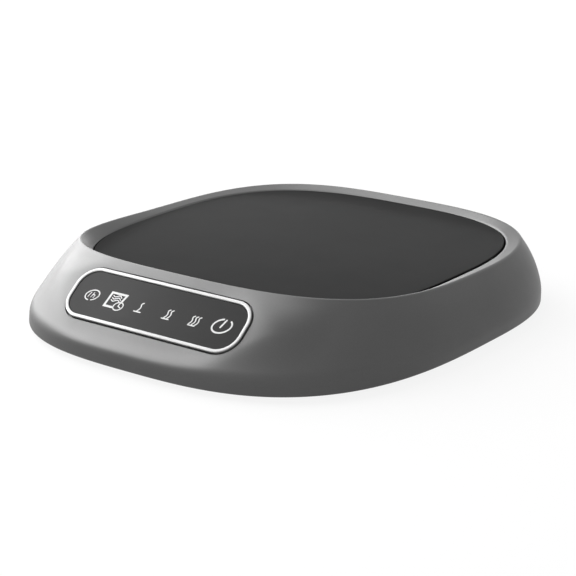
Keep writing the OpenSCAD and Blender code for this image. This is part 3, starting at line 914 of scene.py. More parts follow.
LED = Finish(
    "led_resin", Tone((0.85, 0.83, 0.7), (0.8, 0.72, 0.45), patch=300, speck=3000),
    smooth=0.2, rough=0.3, grain=3000, depth=0.000005, strength=0.1)
CHIP = Finish(
    "chip_resin", Tone(grey(0.018), grey(0.026), patch=200, speck=3500, share=0.6),
    smooth=0.55, rough=0.68, grain=3500, depth=0.00001, strength=0.35)
SLEEVE = StripedFinish(
    "capacitor_sleeve", Tone((0.02, 0.03, 0.07), (0.03, 0.04, 0.09), patch=120, speck=2500),
    smooth=0.3, rough=0.4, grain=2500, depth=0.000008, strength=0.15, stripe=(0.5, 0.52, 0.56),
    pitch=0.0065, stripe_share=0.22)
GREEN = Finish(
    "terminal_green", Tone((0.03, 0.22, 0.08), (0.025, 0.18, 0.07), patch=120, speck=2500),
    smooth=0.4, rough=0.5, grain=2000, depth=0.00002, strength=0.2)
FUSE = Finish(
    "fuse_metal", Tone(grey(0.72), grey(0.6), patch=300, speck=3000),
    smooth=0.2, rough=0.32, rub=0.5, metallic=1.0, grain=3000, depth=0.000005, strength=0.15)
LAMINATE = StripedFinish(
    "board_laminate", Tone((0.015, 0.075, 0.03), (0.012, 0.06, 0.024), patch=90, speck=2800),
    smooth=0.28, rough=0.4, grain=1200, peel=900, depth=0.00001, strength=0.2,
    stripe=(0.025, 0.12, 0.045), pitch=0.0021, stripe_share=0.45)
RIBBON = StripedFinish(
    "ribbon_grey", Tone(grey(0.5), grey(0.46), patch=200, speck=3000),
    smooth=0.4, rough=0.5, grain=2500, depth=0.00001, strength=0.2, stripe=(0.2, 0.2, 0.2), pitch=0.001,
    stripe_share=0.25)
SWITCH = Finish(
    "switch_black", Tone(grey(0.02), grey(0.028), patch=150, speck=3000, share=0.4),
    smooth=0.35, rough=0.45, grain=2500, depth=0.00001, strength=0.25)
SEAL = Finish(
    "silicone_seal", Tone((0.45, 0.12, 0.07), (0.4, 0.1, 0.06), patch=120, speck=2500),
    smooth=0.45, rough=0.6, grain=2000, depth=0.00002, strength=0.2)
ALUMINIUM = Finish(
    "spreader_aluminium", Tone(grey(0.75), grey(0.68), patch=60, speck=2500),
    smooth=0.25, rough=0.45, rub=1.0, metallic=1.0, grain=2500, depth=0.00001, strength=0.25)
FOIL = Finish(
    "heater_foil", Tone((0.55, 0.5, 0.42), (0.45, 0.4, 0.33), patch=200, speck=2500),
    smooth=0.3, rough=0.5, rub=0.6, metallic=1.0, grain=2500, depth=0.00001, strength=0.2)
WOOL = Finish(
    "insulating_pad", Tone((0.62, 0.56, 0.44), (0.5, 0.44, 0.33), patch=400, speck=1500, share=0.6),
    smooth=0.8, rough=0.95, grain=900, peel=400, depth=0.00015, strength=0.6)
CARRIER = Finish(
    "carrier_plastic", Tone(grey(0.05), grey(0.06), patch=60, speck=2200, share=0.4),
    smooth=0.45, rough=0.58, grain=1500, depth=0.00003, strength=0.3)
BEAD = Finish(
    "sensor_bead", Tone((0.5, 0.26, 0.08), (0.4, 0.2, 0.06), patch=300, speck=3000),
    smooth=0.2, rough=0.35, grain=2500, depth=0.00001, strength=0.15)
LEADS = Finish(
    "lead_insulation", Tone((0.55, 0.03, 0.02), (0.45, 0.025, 0.02), patch=200, speck=2500),
    smooth=0.35, rough=0.5, grain=2500, depth=0.00001, strength=0.15)
PLUNGER = Finish(
    "plunger_red", Tone((0.5, 0.03, 0.02), (0.42, 0.025, 0.018), patch=200, speck=2500),
    smooth=0.3, rough=0.42, grain=2500, depth=0.00001, strength=0.15)


class Slot(Enum):
    """The record's material slots."""

    HOUSING_PLASTIC = "housing_plastic"
    BASE_PLASTIC = "base_plastic"
    FOOT_RUBBER = "foot_rubber"
    ZINC_STEEL = "zinc_steel"
    BRIGHT_TRIM = "bright_trim"
    LENS_PLASTIC = "lens_plastic"
    WHITE_PLASTIC = "white_plastic"
    BOARD_LAMINATE = "board_laminate"
    LED_RESIN = "led_resin"
    SPRING_STEEL = "spring_steel"
    CHIP_RESIN = "chip_resin"
    NYLON_NATURAL = "nylon_natural"
    CAPACITOR_SLEEVE = "capacitor_sleeve"
    TERMINAL_GREEN = "terminal_green"
    FUSE_METAL = "fuse_metal"
    RIBBON_GREY = "ribbon_grey"
    SWITCH_BLACK = "switch_black"
    GLAND_RUBBER = "gland_rubber"
    BLACK_GLASS = "black_glass"
    SEAL_SILICONE = "seal_silicone"
    SPREADER_ALUMINIUM = "spreader_aluminium"
    HEATER_FOIL = "heater_foil"
    MICA_WOOL = "mica_wool"
    CARRIER_PLASTIC = "carrier_plastic"
    SENSOR_BEAD = "sensor_bead"
    LEAD_INSULATION = "lead_insulation"
    PLUNGER_RED = "plunger_red"


SLOT_FINISHES = {
    Slot.HOUSING_PLASTIC: PAINT,
    Slot.BASE_PLASTIC: BASE,
    Slot.FOOT_RUBBER: RUBBER,
    Slot.ZINC_STEEL: STEEL,
    Slot.BRIGHT_TRIM: TRIM,
    Slot.LENS_PLASTIC: LENS,
    Slot.WHITE_PLASTIC: WHITE,
    Slot.BOARD_LAMINATE: LAMINATE,
    Slot.LED_RESIN: LED,
    Slot.SPRING_STEEL: SPRING,
    Slot.CHIP_RESIN: CHIP,
    Slot.NYLON_NATURAL: NYLON,
    Slot.CAPACITOR_SLEEVE: SLEEVE,
    Slot.TERMINAL_GREEN: GREEN,
    Slot.FUSE_METAL: FUSE,
    Slot.RIBBON_GREY: RIBBON,
    Slot.SWITCH_BLACK: SWITCH,
    Slot.GLAND_RUBBER: GROMMET,
    Slot.BLACK_GLASS: GLASS,
    Slot.SEAL_SILICONE: SEAL,
    Slot.SPREADER_ALUMINIUM: ALUMINIUM,
    Slot.HEATER_FOIL: FOIL,
    Slot.MICA_WOOL: WOOL,
    Slot.CARRIER_PLASTIC: CARRIER,
    Slot.SENSOR_BEAD: BEAD,
    Slot.LEAD_INSULATION: LEADS,
    Slot.PLUNGER_RED: PLUNGER,
}


# ---------------------------------------------------------------- setting pieces in place


class Body(Enum):
    """The bodies that the pieces ride on: the fixed housing, and the plate that goes down."""

    HOUSING = "housing"
    PLATE = "plate"


@dataclass(frozen=True)
class Place:
    """Where a piece belongs: its body, its material slot and the node that it stands for, if any."""

    body: Body
    slot: Slot
    node: str | None = None


def settle(library: Library, made: bpy.types.Object, place: Place, finish: Finish | None = None) -> None:
    """Puts a piece on its body in its node's place, gives it the finish of its slot, and reports it.

    Args:
        library: The materials.
        made: The piece.
        place: Where it belongs.
        finish: Its finish, where that isn't the usual one of its slot.
    """
    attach(made, place.body.value)
    if place.node:
        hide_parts(place.node)
    library.dress(made, finish or SLOT_FINISHES[place.slot])
    log.info("made %s, which rides on the %s", made.name, place.body.value)


def give_way(made: bpy.types.Object) -> None:
    """Gives a flexible piece a mesh of its own, copied from the one it had.

    Args:
        made: The piece.
    """
    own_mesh(made)


def dress_nodes(library: Library) -> None:
    """Gives every node of the construction model the finish of its slot, and reports it.

    Args:
        library: The materials.
    """
    for part in frame["record"]["subparts"]:
        slot = Slot(part["material_slot"])
        library.dress(frame["nodes"][part["node"]], SLOT_FINISHES[slot])
        log.info("dressed %s as %s", part["node"], slot.value)


# ---------------------------------------------------------------- housing


@dataclass(frozen=True)
class Bend:
    """How a corner of the wall's section is rounded: the cut on both sides, and the curve's steps."""

    cut: float
    steps: int


@dataclass(frozen=True)
class PostPair:
    """A pair of screw posts, one on each side, with a pilot hole from below."""

    place: tuple[float, float]
    radius: float
    hole: float
    low: float
    high: float
    hole_low: float
    hole_high: float

    def solids(self) -> tuple[list[Shell], list[Shell]]:
        """The posts and their holes, about the origin of the plane that they stand on.

        Returns:
            The two posts, and the two holes to take out of them.
        """
        places = [(side * self.place[0], self.place[1], 0) for side in SIDES]
        stem = post(self.radius, self.low, self.high)
        hole = post(self.hole, self.hole_low, self.hole_high)
        return [stem.moved(place) for place in places], [hole.moved(place) for place in places]


@dataclass
class Housing:
    """The moulded housing: a soft-edged band, a bulging flank, a rounded crest and a plate opening.

    The four outlines are seen from above: the plate, the crest round it, the housing's widest line
    and its lower edge. The wall's section is a chain of corners through them.
    """

    plate: Outline = PLATE_OUTLINE
    crest: Outline = Outline(half_width=59.5, forward=57, back=58.9, power=3.1)
    widest: Outline = Outline(half_width=67.2, forward=79.4, back=64.2, power=2.81)
    lower_edge: Outline = Outline(half_width=66.6, forward=79.2, back=63.4, power=2.94)
    segments: int = 640
    wall: float = 2.2
    plate_gap: float = 0.5
    edge_ease: float = 0.2
    widest_height: float = 4.9

    # The crest's height over the plate's face, in front, at the sides, and how it curves between.
    lip_front: float = 4.66
    lip_side: float = 1.0
    lip_curve: float = 0.00064
    crest_inward: float = 0.2
    crest_rise: tuple[float, float] = (0.09, -0.05)

    # The lip round the plate: its chamfer, its depth under the plate's face and its tip.
    lip_chamfer: float = 0.5
    lip_share: float = 0.6
    lip_over: float = 0.05
    lip_under: float = 0.35
    lip_depth: float = 4.25
    lip_tip: float = 0.2
    lip_least: float = 2.4

    # The flank's bulge, as a share of its length, and how much of it is left over the panel.
    flank_bulge: float = 0.085
    front_bulge: float = 0.35
    front_half: tuple[float, float] = (54, 66.5)

    # How the section's corners are rounded. The flank's curve leaves a rest straight at both ends.
    edge_bend: Bend = Bend(0.9, 7)
    widest_bend: Bend = Bend(2.2, 14)
    flank_rest: float = 2.8
    flank_steps: int = 38
    crest_bend: Bend = Bend(0.9, 14)
    chamfer_bend: Bend = Bend(0.25, 4)
    mouth_bend: Bend = Bend(0.12, 4)

    # The panel's plane, and how far the flat round it reaches: aside, down and up the flank. Further
    # aside, the flat narrows.
    panel_down: float = 12.2
    panel_lean: float = 1.4
    panel_sink: float = 0.5
    flat_side: tuple[float, float] = (27, 50)
    flat_low: tuple[float, float] = (-0.02, 0.19)
    flat_high: tuple[float, float] = (0.86, 1.02)
    narrow_side: tuple[float, float] = (22, 42)
    narrowing: float = 0.33

    # The recess for the ring and lens, flared at its mouth, and the light's window in its floor.
    pocket: RoundedBox = RoundedBox(62.7, 17.7, 7.05)
    pocket_depth: float = 1.1
    pocket_mouth: tuple[tuple[float, float], ...] = (
        (0, -0.16), (-0.05, -0.06), (-0.16, 0.02), (-0.3, 0.6), (-0.3, 4))
    window: RoundedBox = RoundedBox(56, 9.8, 2)
    window_depth: float = 6
    window_overlap: float = 0.3

    # The screw posts: place and top of those on the floor, and those of the light board.
    floor_posts: tuple[tuple[float, float, float], ...] = ((47, -60.5, 8.8), (47.4, 47.4, 11.5))
    post_radius: float = 3
    post_hole: float = 1.35
    post_roof: float = 1.2
    light_post: tuple[float, float] = (30.4, -2)
    light_post_radius: float = 2.2
    light_post_hole: float = 0.85
    light_post_low: float = -5.4
    light_post_overlap: float = 0.5
    light_post_roof: float = 1
    hole_clearance: float = 1

    # The block behind the cord's hole, and the stepped hole for the grommet.
    cord_block: RoundedBox = RoundedBox(13, 4.6, 0.4)
    cord_block_height: float = 7.6
    flange_room: float = 1.4
    neck_hole: float = 3.55
    neck_overlap: float = 0.5
    collar_hole: float = 4.75
    collar_sink: float = 1.6
    collar_clearance: float = 6

    sharp: float = 28

    @property
    def outer_rows(self) -> int:
        """Number of the section's points from the lower edge's inner corner to the crest's end."""
        steps = (self.edge_bend.steps, self.widest_bend.steps, self.flank_steps, self.crest_bend.steps)
        return 1 + sum(steps) + len(steps)

    @property
    def panel(self) -> Panel:
        """The control panel's plane, a little under the chord from the crest to the widest line.

        The plane leans by a little more than the chord. Its centre lies down the chord from the
        crest, and is sunk into it.

        Returns:
            The plane.
        """
        top = np.array([-self.crest.forward, self.crest_z(-self.crest.forward)])
        low = np.array([-self.widest.forward, Z_EDGE + self.widest_height])
        run = top - low
        tilt = math.atan2(run[1], run[0]) + math.radians(self.panel_lean)
        out = np.array([-math.sin(tilt), math.cos(tilt)])
        centre = top - run * self.panel_down / np.linalg.norm(run) - out * self.panel_sink
        return Panel(centre, tilt)

    def crest_z(self, y: np.ndarray | float) -> np.ndarray | float:
        """The crest's height at a distance behind the plate's centre: a parabola, highest in front.

        Args:
            y: The distance, negative in front.

        Returns:
            The height.
        """
        front = self.crest.forward
        slope = (self.lip_front - self.lip_side - self.lip_curve * front**2) / front
        return Z_GLASS + self.lip_side - slope * y + self.lip_curve * y * y

    def middle(self, crest: np.ndarray, widest: np.ndarray, aside: np.ndarray) -> np.ndarray:
        """The flank's middle corner: halfway from crest to widest line, pushed out by the bulge.

        Args:
            crest: The crest, as distance and height by angle.
            widest: The widest line in the same way.
            aside: 0 in front of the plate and 1 or more beside and behind it, where the bulge is whole.

        Returns:
            The corner in the same way.
        """
        run = widest - crest
        out = np.stack([-run[:, 1], run[:, 0]], -1)
        bulge = self.flank_bulge * (self.front_bulge + (1 - self.front_bulge) * np.minimum(aside, 1))
        return (crest + widest) / 2 + out * bulge[:, None]

    def section(self, angle: np.ndarray) -> np.ndarray:
        """The wall's section at each angle, as distance from the plate's axis and height.

        It is a chain of corners, from the inner corner of the lower edge out, up and over the crest
        to the lip, and back inside at the wall's thickness under a straight line from crest to
        widest line. Each rounded corner is a quadratic curve between points a cut before and after.

        Args:
            angle: Angles in radians.

        Returns:
            An array of angle, point, and the two coordinates.
        """

        def at(radius: np.ndarray, height: np.ndarray | float) -> np.ndarray:
            """Points at a distance from the axis and a height."""
            return np.stack([radius, np.broadcast_to(height, radius.shape)], -1)

        crest_r = self.crest.radius(angle)
        widest_r = self.widest.radius(angle) + self.edge_ease
        edge_r = self.lower_edge.radius(angle) + self.edge_ease
        hole_r = self.plate.radius(angle) + self.plate_gap
        crest = at(crest_r, self.crest_z(crest_r * np.sin(angle)))
        widest = at(widest_r, Z_EDGE + self.widest_height)
        run = widest - crest
        length = np.linalg.norm(run, axis=1, keepdims=True)
        aside = smooth(*self.front_half, np.abs(widest_r * np.cos(angle))) + (np.sin(angle) > 0)
        lift, drop = self.crest_rise
        rounded = crest + at(np.full_like(angle, -self.crest_inward), lift * (crest[:, 1] - Z_GLASS) + drop)

        def inner(radius: np.ndarray) -> np.ndarray:
            """The inner wall's height at a distance from the axis: a wall's thickness under the chord."""
            under = self.wall * length[:, 0] / np.abs(run[:, 0])
            return crest[:, 1] - under + (radius - crest_r) * run[:, 1] / run[:, 0]

        lip_z = Z_GLASS - self.lip_depth
        chamfer = np.minimum(self.lip_chamfer, self.lip_share * (crest_r - hole_r))
        tip_r, back_r = hole_r + self.wall - self.lip_tip, widest_r - self.wall
        corners = [
            at(edge_r - self.wall, Z_EDGE), at(edge_r, Z_EDGE), widest, self.middle(crest, widest, aside),
            rounded, at(hole_r + chamfer, Z_GLASS + self.lip_over), at(hole_r, Z_GLASS - self.lip_under),
            at(hole_r, lip_z), at(tip_r, lip_z),
            at(tip_r, np.minimum(inner(tip_r), crest[:, 1] - self.lip_least)), at(back_r, inner(back_r)),
        ]
        cuts = [self.edge_bend.cut, self.widest_bend.cut, length / 2 - self.flank_rest,
                self.crest_bend.cut, self.chamfer_bend.cut, self.mouth_bend.cut]
        steps = [self.edge_bend.steps, self.widest_bend.steps, self.flank_steps,
                 self.crest_bend.steps, self.chamfer_bend.steps, self.mouth_bend.steps]
        rows = [corners[0][:, None]]
        for k, (cut, count) in enumerate(zip(cuts, steps), start=1):
            rows.append(bent(corners[k - 1], corners[k], corners[k + 1], cut, count))
        rows += [corner[:, None] for corner in corners[len(cuts) + 1:]]
        return np.concatenate(rows, 1)

    def flattened(self, points: np.ndarray, angle: np.ndarray) -> np.ndarray:
        """Points of the outer skin, pressed into the panel's plane where they lie near the panel.

        The share of the way that a point moves falls off softly to both sides of the panel, and
        towards the widest line and the crest. The place between those two lines runs from 0 to 1.

        Args:
            points: The skin's points, by angle and row.
            angle: The angle of each column.

        Returns:
            The moved points.
        """
        panel = self.panel
        low_r, high_r = self.widest.radius(angle) + self.edge_ease, self.crest.radius(angle)
        low_z, high_z = Z_EDGE + self.widest_height, self.crest_z(high_r * np.sin(angle))
        run = np.stack([high_r - low_r, high_z - low_z], -1)[:, None]
        reach = np.stack([np.hypot(points[..., 0], points[..., 1]) - low_r[:, None],
                          points[..., 2] - low_z], -1)
        place = (reach * run).sum(-1) / (run * run).sum(-1)
        aside = np.abs(points[..., 0])
        narrowed = self.narrowing * smooth(*self.narrow_side, aside)
        share = (points[..., 1] < 0) * (1 - smooth(*self.flat_side, aside))
        share *= smooth(self.flat_low[0], self.flat_low[1] + narrowed, place)
        share *= 1 - smooth(self.flat_high[0] - narrowed, self.flat_high[1], place)
        share[:, self.outer_rows:] = 0
        out = (points[..., 1:] - panel.centre) @ panel.out
        moved = points.copy()
        moved[..., 1:] -= (share * out)[..., None] * panel.out
        return moved

    def skin(self) -> Shell:
        """The housing's wall: its section at each angle, swept round the plate's axis.

        Returns:
            The closed surface.
        """
        angle = np.linspace(0, 2 * math.pi, self.segments, endpoint=False)
        radius, height = np.moveaxis(self.section(angle), -1, 0)
        grid = np.stack([radius * np.cos(angle)[:, None], radius * np.sin(angle)[:, None], height], -1)
        grid = self.flattened(grid, angle)
        grid[..., 1] += PLATE_Y
        return looped(grid)

    def posts(self) -> tuple[list[Shell], list[Shell]]:
        """The screw posts inside the housing, and the holes in them.

        Those for the floor's screws stand on the floor, and those of the light board hang under
        the panel's recess.

        Returns:
            The posts and the holes.
        """
        light = PostPair(place=self.light_post, radius=self.light_post_radius, hole=self.light_post_hole,
                         low=self.light_post_low, high=-self.pocket_depth - self.light_post_overlap,
                         hole_low=self.light_post_low - self.hole_clearance,
                         hole_high=-self.wall - self.light_post_roof)
        stems, holes = ([self.panel.placed(solid) for solid in solids] for solids in light.solids())
        for x, y, top in self.floor_posts:
            floor = PostPair(place=(x, y + PLATE_Y), radius=self.post_radius, hole=self.post_hole,
                             low=Z_FLOOR, high=top, hole_low=Z_FLOOR - self.hole_clearance,
                             hole_high=top - self.post_roof)
            more_stems, more_holes = floor.solids()
            stems += more_stems
            holes += more_holes
        return stems, holes

    def build(self) -> bpy.types.Object:
        """The housing with the panel's recess and light window, the screw posts and the cord's hole.

        Returns:
            The piece.
        """
        low, high = box_mm("cord_gland")
        gland_z = (low[2] + high[2]) / 2
        collar_y, inner_y = high[1] - self.collar_sink, low[1] + self.flange_room
        stems, holes = self.posts()
        block = layered(self.cord_block, [(0, Z_FLOOR), (0, Z_FLOOR + self.cord_block_height)],
                        arc_steps=4, long=4, short=3)
        stems.append(capped(block).moved((0, inner_y + self.cord_block.height / 2, 0)))
        recess = capped(layered(self.pocket, [(0, -self.pocket_depth), *self.pocket_mouth]))
        window = capped(layered(
            self.window, [(0, -self.window_depth), (0, -self.pocket_depth + self.window_overlap)],
            arc_steps=6, long=12, short=4))
        neck = post(self.neck_hole, inner_y - self.hole_clearance, collar_y + self.neck_overlap)
        collar = post(self.collar_hole, collar_y, collar_y + self.collar_clearance)
        shell = piece("housing", [self.skin()])
        carve(shell, [(Carving.ADD, stems), (Carving.TAKE, [self.panel.placed(recess)]),
                      (Carving.TAKE, [self.panel.placed(window), along_y(neck, gland_z), *holes]),
                      (Carving.TAKE, [along_y(collar, gland_z)])], self.sharp)
        return shell

    def dress(self, library: Library) -> None:
        """Makes the housing and settles it."""
        settle(library, self.build(), Place(Body.HOUSING, Slot.HOUSING_PLASTIC, "housing_shell"))


# ---------------------------------------------------------------- control panel


@dataclass(frozen=True)
class Stroke:
    """A line of even width with round ends, drawn through its points.

    Curved strokes pass smoothly through their points, and the others keep their corners.
    """

    points: list[tuple[float, float]]
    width: float
    curved: bool = False
    steps: int = 8
    end_steps: int = 8
    longest_mitre: float = 2

    def line(self) -> np.ndarray:
        """The stroke's centre line as close points.

        A curved stroke is a chain of cubic curves through its points. Each leaves a point in the
        direction from the point before to the point after, and a point is added past both ends as
        the mirror image of the one inside.

        Returns:
            The points.
        """
        fixed = np.array(self.points, float)
        if not self.curved:
            return fixed
        chain = np.vstack([2 * fixed[0] - fixed[1], fixed, 2 * fixed[-1] - fixed[-2]])[:, None]
        a, b, c, d = chain[:-3], chain[1:-2], chain[2:-1], chain[3:]
        t = np.linspace(0, 1, self.steps + 1)[:-1, None]
        runs = 0.5 * (2 * b + (c - a) * t + (2 * a - 5 * b + 4 * c - d) * t**2
                      + (3 * b - a - 3 * c + d) * t**3)
        return np.vstack([runs.reshape(-1, 2), fixed[-1:]])

    def solid(self, symbol: "Symbol", low: float, high: float) -> Shell:
        """The stroke as a thin solid between two heights over the panel's plane.

        The sides follow the centre line at half the width, with mitred corners, and half circles
        close both ends.

        Args:
            symbol: The symbol that the stroke belongs to, which gives its place and slant.
            low: Height of the underside.
            high: Height of the printed face.

        Returns:
            The solid, in the panel's own directions.
        """
        line = symbol.place(self.line())
        step = np.diff(line, axis=0)
        step /= np.linalg.norm(step, axis=1, keepdims=True)
        normal = np.stack([-step[:, 1], step[:, 0]], -1)
        before, after = np.vstack([normal[:1], normal]), np.vstack([normal, normal[-1:]])
        mitre = before + after
        mitre /= np.linalg.norm(mitre, axis=1, keepdims=True)
        mitre /= np.maximum((mitre * before).sum(1, keepdims=True), 1 / self.longest_mitre)
        half = self.width / 2
        turn = np.linspace(-math.pi / 2, math.pi / 2, self.end_steps + 1)[1:-1, None]
        tail = line[-1] + half * (np.cos(turn) * step[-1] + np.sin(turn) * normal[-1])
        head = line[0] - half * (np.cos(turn) * step[0] + np.sin(turn) * normal[0])
        left, right = line + mitre * half, (line - mitre * half)[::-1]
        loop = np.vstack([left, tail[::-1], right, head[::-1]])
        return capped(np.stack([np.column_stack([loop, np.full(len(loop), height)])
                                for height in (low, high)]))


@dataclass(frozen=True)
class Symbol:
    """A printed symbol: strokes drawn upright about their own centre, then slanted and set in place."""

    name: str
    centre: tuple[float, float]
    strokes: list[Stroke]
    slant: float = 0.28
    squeeze: float = 0.8

    def place(self, points: np.ndarray) -> np.ndarray:
        """Points of the upright drawing, squeezed in height, slanted and moved to the symbol's place."""
        up = points[:, 1] * self.squeeze
        return np.stack([self.centre[0] + points[:, 0] + self.slant * up, self.centre[1] + up], -1)


STEAM_WAVE = [(0, -1.8), (0.45, -1.15), (0.58, -0.5), (0.38, 0.15), (0.4, 0.6), (0.85, 0.9)]
STEAM_SPACING = 1.1
STEAM_BASE = -2.1
STEAM_CENTRE = -0.1
RIPPLE_WAVE = [(-1.7, 0.15), (-1.25, -0.15), (-0.8, -0.2), (-0.1, 0.15), (0.45, 0.38), (0.9, 0.28),
               (1.45, -0.2)]
FRAME = [(0.1, -2.35), (-2.95, -2.35), (-2.6, 2.2), (2.8, 2.2), (2.1, -0.35)]


def steam(name: str, centre: float, count: int, first: float, reach: float) -> Symbol:
    """A heat symbol: leaning waves side by side that rise from a base line.

    Args:
        name: The symbol's name.
        centre: Its place along the panel.
        count: Number of waves.
        first: Place of the first wave's foot from the centre.
        reach: Half the base line's length.

    Returns:
        The symbol.
    """
    base = Stroke([(-reach, STEAM_BASE), (reach, STEAM_BASE)], width=0.34)
    waves = [Stroke([(first + STEAM_SPACING * k + x, y) for x, y in STEAM_WAVE], width=0.36, curved=True)
             for k in range(count)]
    return Symbol(name, (centre, STEAM_CENTRE), [base, *waves], slant=0, squeeze=1)


def ripple(height: float) -> Stroke:
    """One level wave inside the framed symbol."""
    return Stroke([(x, y + height) for x, y in RIPPLE_WAVE], width=0.3, curved=True)


SYMBOLS = [
    Symbol("symbol_timer", (-23.15, -0.55), [
        Stroke(arc((0, 0), 2.2, -66, 266, 39), width=0.36, curved=True),
        Stroke([(-1.0, -0.9), (-1.0, 1.0)], width=0.24),
        Stroke([(0.05, -0.9), (0.05, 1.1)], width=0.24),
        Stroke([(0.05, 0.0), (0.45, 0.3), (0.9, 0.1), (0.95, -0.9)], width=0.22, curved=True)]),
    Symbol("symbol_keep_warm", (-14.4, -0.4), [
        Stroke(FRAME, width=0.66), ripple(1.25), ripple(0.5), ripple(-0.25)], slant=0, squeeze=1),
    Symbol("symbol_clock", (-12.55, -2.05), [
        Stroke(arc((0, 0), 1.55, 90, 450, 35), width=0.34, curved=True),
        Stroke([(-0.1, 1.2), (-0.05, 0.1), (0.95, -0.4)], width=0.34)], slant=0.2, squeeze=0.86),
    steam("symbol_heat_low", -5.5, count=1, first=-0.15, reach=1.2),
    steam("symbol_heat_medium", 4.5, count=2, first=-0.5, reach=1.2),
    steam("symbol_heat_high", 13.7, count=3, first=-1.05, reach=1.1),
    Symbol("symbol_power", (23.15, -0.15), [
        Stroke(arc((0, 0), 2.85, 112, 416, 43), width=0.5, curved=True),
        Stroke([(-0.15, -0.55), (-0.05, 2.5)], width=0.52)]),
]


@dataclass
class ControlPanel:
    """The bright trim ring, the dark lens inside it and the printed symbols, in the housing's recess."""

    housing: Housing
    ring: RoundedBox = RoundedBox(62, 17, 6.7)
    ring_width: float = 1.1
    ring_proud: float = 0.5
    ring_shoulder: float = 0.2
    ring_steps: int = 18
    spread_power: float = 0.7
    dome_power: float = 0.6
    lens_gap: float = 0.05
    lens_proud: float = 0.15
    lens_edge: float = 0.12
    lens_face: tuple[float, ...] = (0.25, 0.6)
    print_height: float = 0.03
    print_sink: float = 0.02
    stroke_lift: float = 0.002
    sharp: float = 50
    print_sharp: float = 40

    def build_ring(self) -> bpy.types.Object:
        """The trim ring: a band with a domed face, carried round a rounded rectangle.

        Along the dome runs a half turn. The place across the band is a power of its cosine, and
        the height over the shoulder a power of its sine, so that the shoulders are steep and the
        crown is broad.

        Returns:
            The piece.
        """
        depth = self.housing.pocket_depth
        turn = np.linspace(0, math.pi, self.ring_steps + 1)
        cosine = np.cos(turn)
        across = self.ring_width / 2 * (1 - np.sign(cosine) * np.abs(cosine) ** self.spread_power)
        crown = self.ring_proud - self.ring_shoulder
        dome = self.ring_shoulder + crown * np.sin(turn) ** self.dome_power
        rows = [(0, -depth), *zip(across.tolist(), dome.tolist()), (self.ring_width, -depth)]
        band = looped(layered(self.ring, rows))
        return piece("trim_ring_domed", [self.housing.panel.placed(band)], self.sharp)

    def build_lens(self) -> bpy.types.Object:
        """The lens: a flat window inside the ring, whose upper edge is rounded off.

        Returns:
            The piece.
        """
        inset = self.ring_width + self.lens_gap
        lens = RoundedBox(self.ring.width - 2 * inset, self.ring.height - 2 * inset,
                          self.ring.corner - inset)
        edge = arc((self.lens_edge, self.lens_proud - self.lens_edge), self.lens_edge, 180, 90, 6)
        face = [(place, self.lens_proud) for place in self.lens_face]
        rows = [(0, -self.housing.pocket_depth), *edge, *face]
        window = capped(layered(lens, rows))
        return piece("panel_lens_window", [self.housing.panel.placed(window)], self.sharp)

    def build_symbol(self, symbol: Symbol) -> bpy.types.Object:
        """A printed symbol: a thin raised print on the lens, each stroke a hair over the one before.

        Args:
            symbol: The symbol.

        Returns:
            The piece.
        """
        low, top = self.lens_proud - self.print_sink, self.lens_proud + self.print_height
        strokes = [self.housing.panel.placed(stroke.solid(symbol, low, top + self.stroke_lift * k))
                   for k, stroke in enumerate(symbol.strokes)]
        return piece(symbol.name, strokes, self.print_sharp)

    def dress(self, library: Library) -> None:
        """Makes the ring, the lens and the symbols, and settles them.

        Args:
            library: The materials.
        """
        settle(library, self.build_ring(), Place(Body.HOUSING, Slot.BRIGHT_TRIM, "trim_ring"))
        settle(library, self.build_lens(), Place(Body.HOUSING, Slot.LENS_PLASTIC, "panel_lens"))
        for symbol in SYMBOLS:
            settle(library, self.build_symbol(symbol), Place(Body.HOUSING, Slot.LENS_PLASTIC), PRINT)


# ---------------------------------------------------------------- plate, feet, cord entry


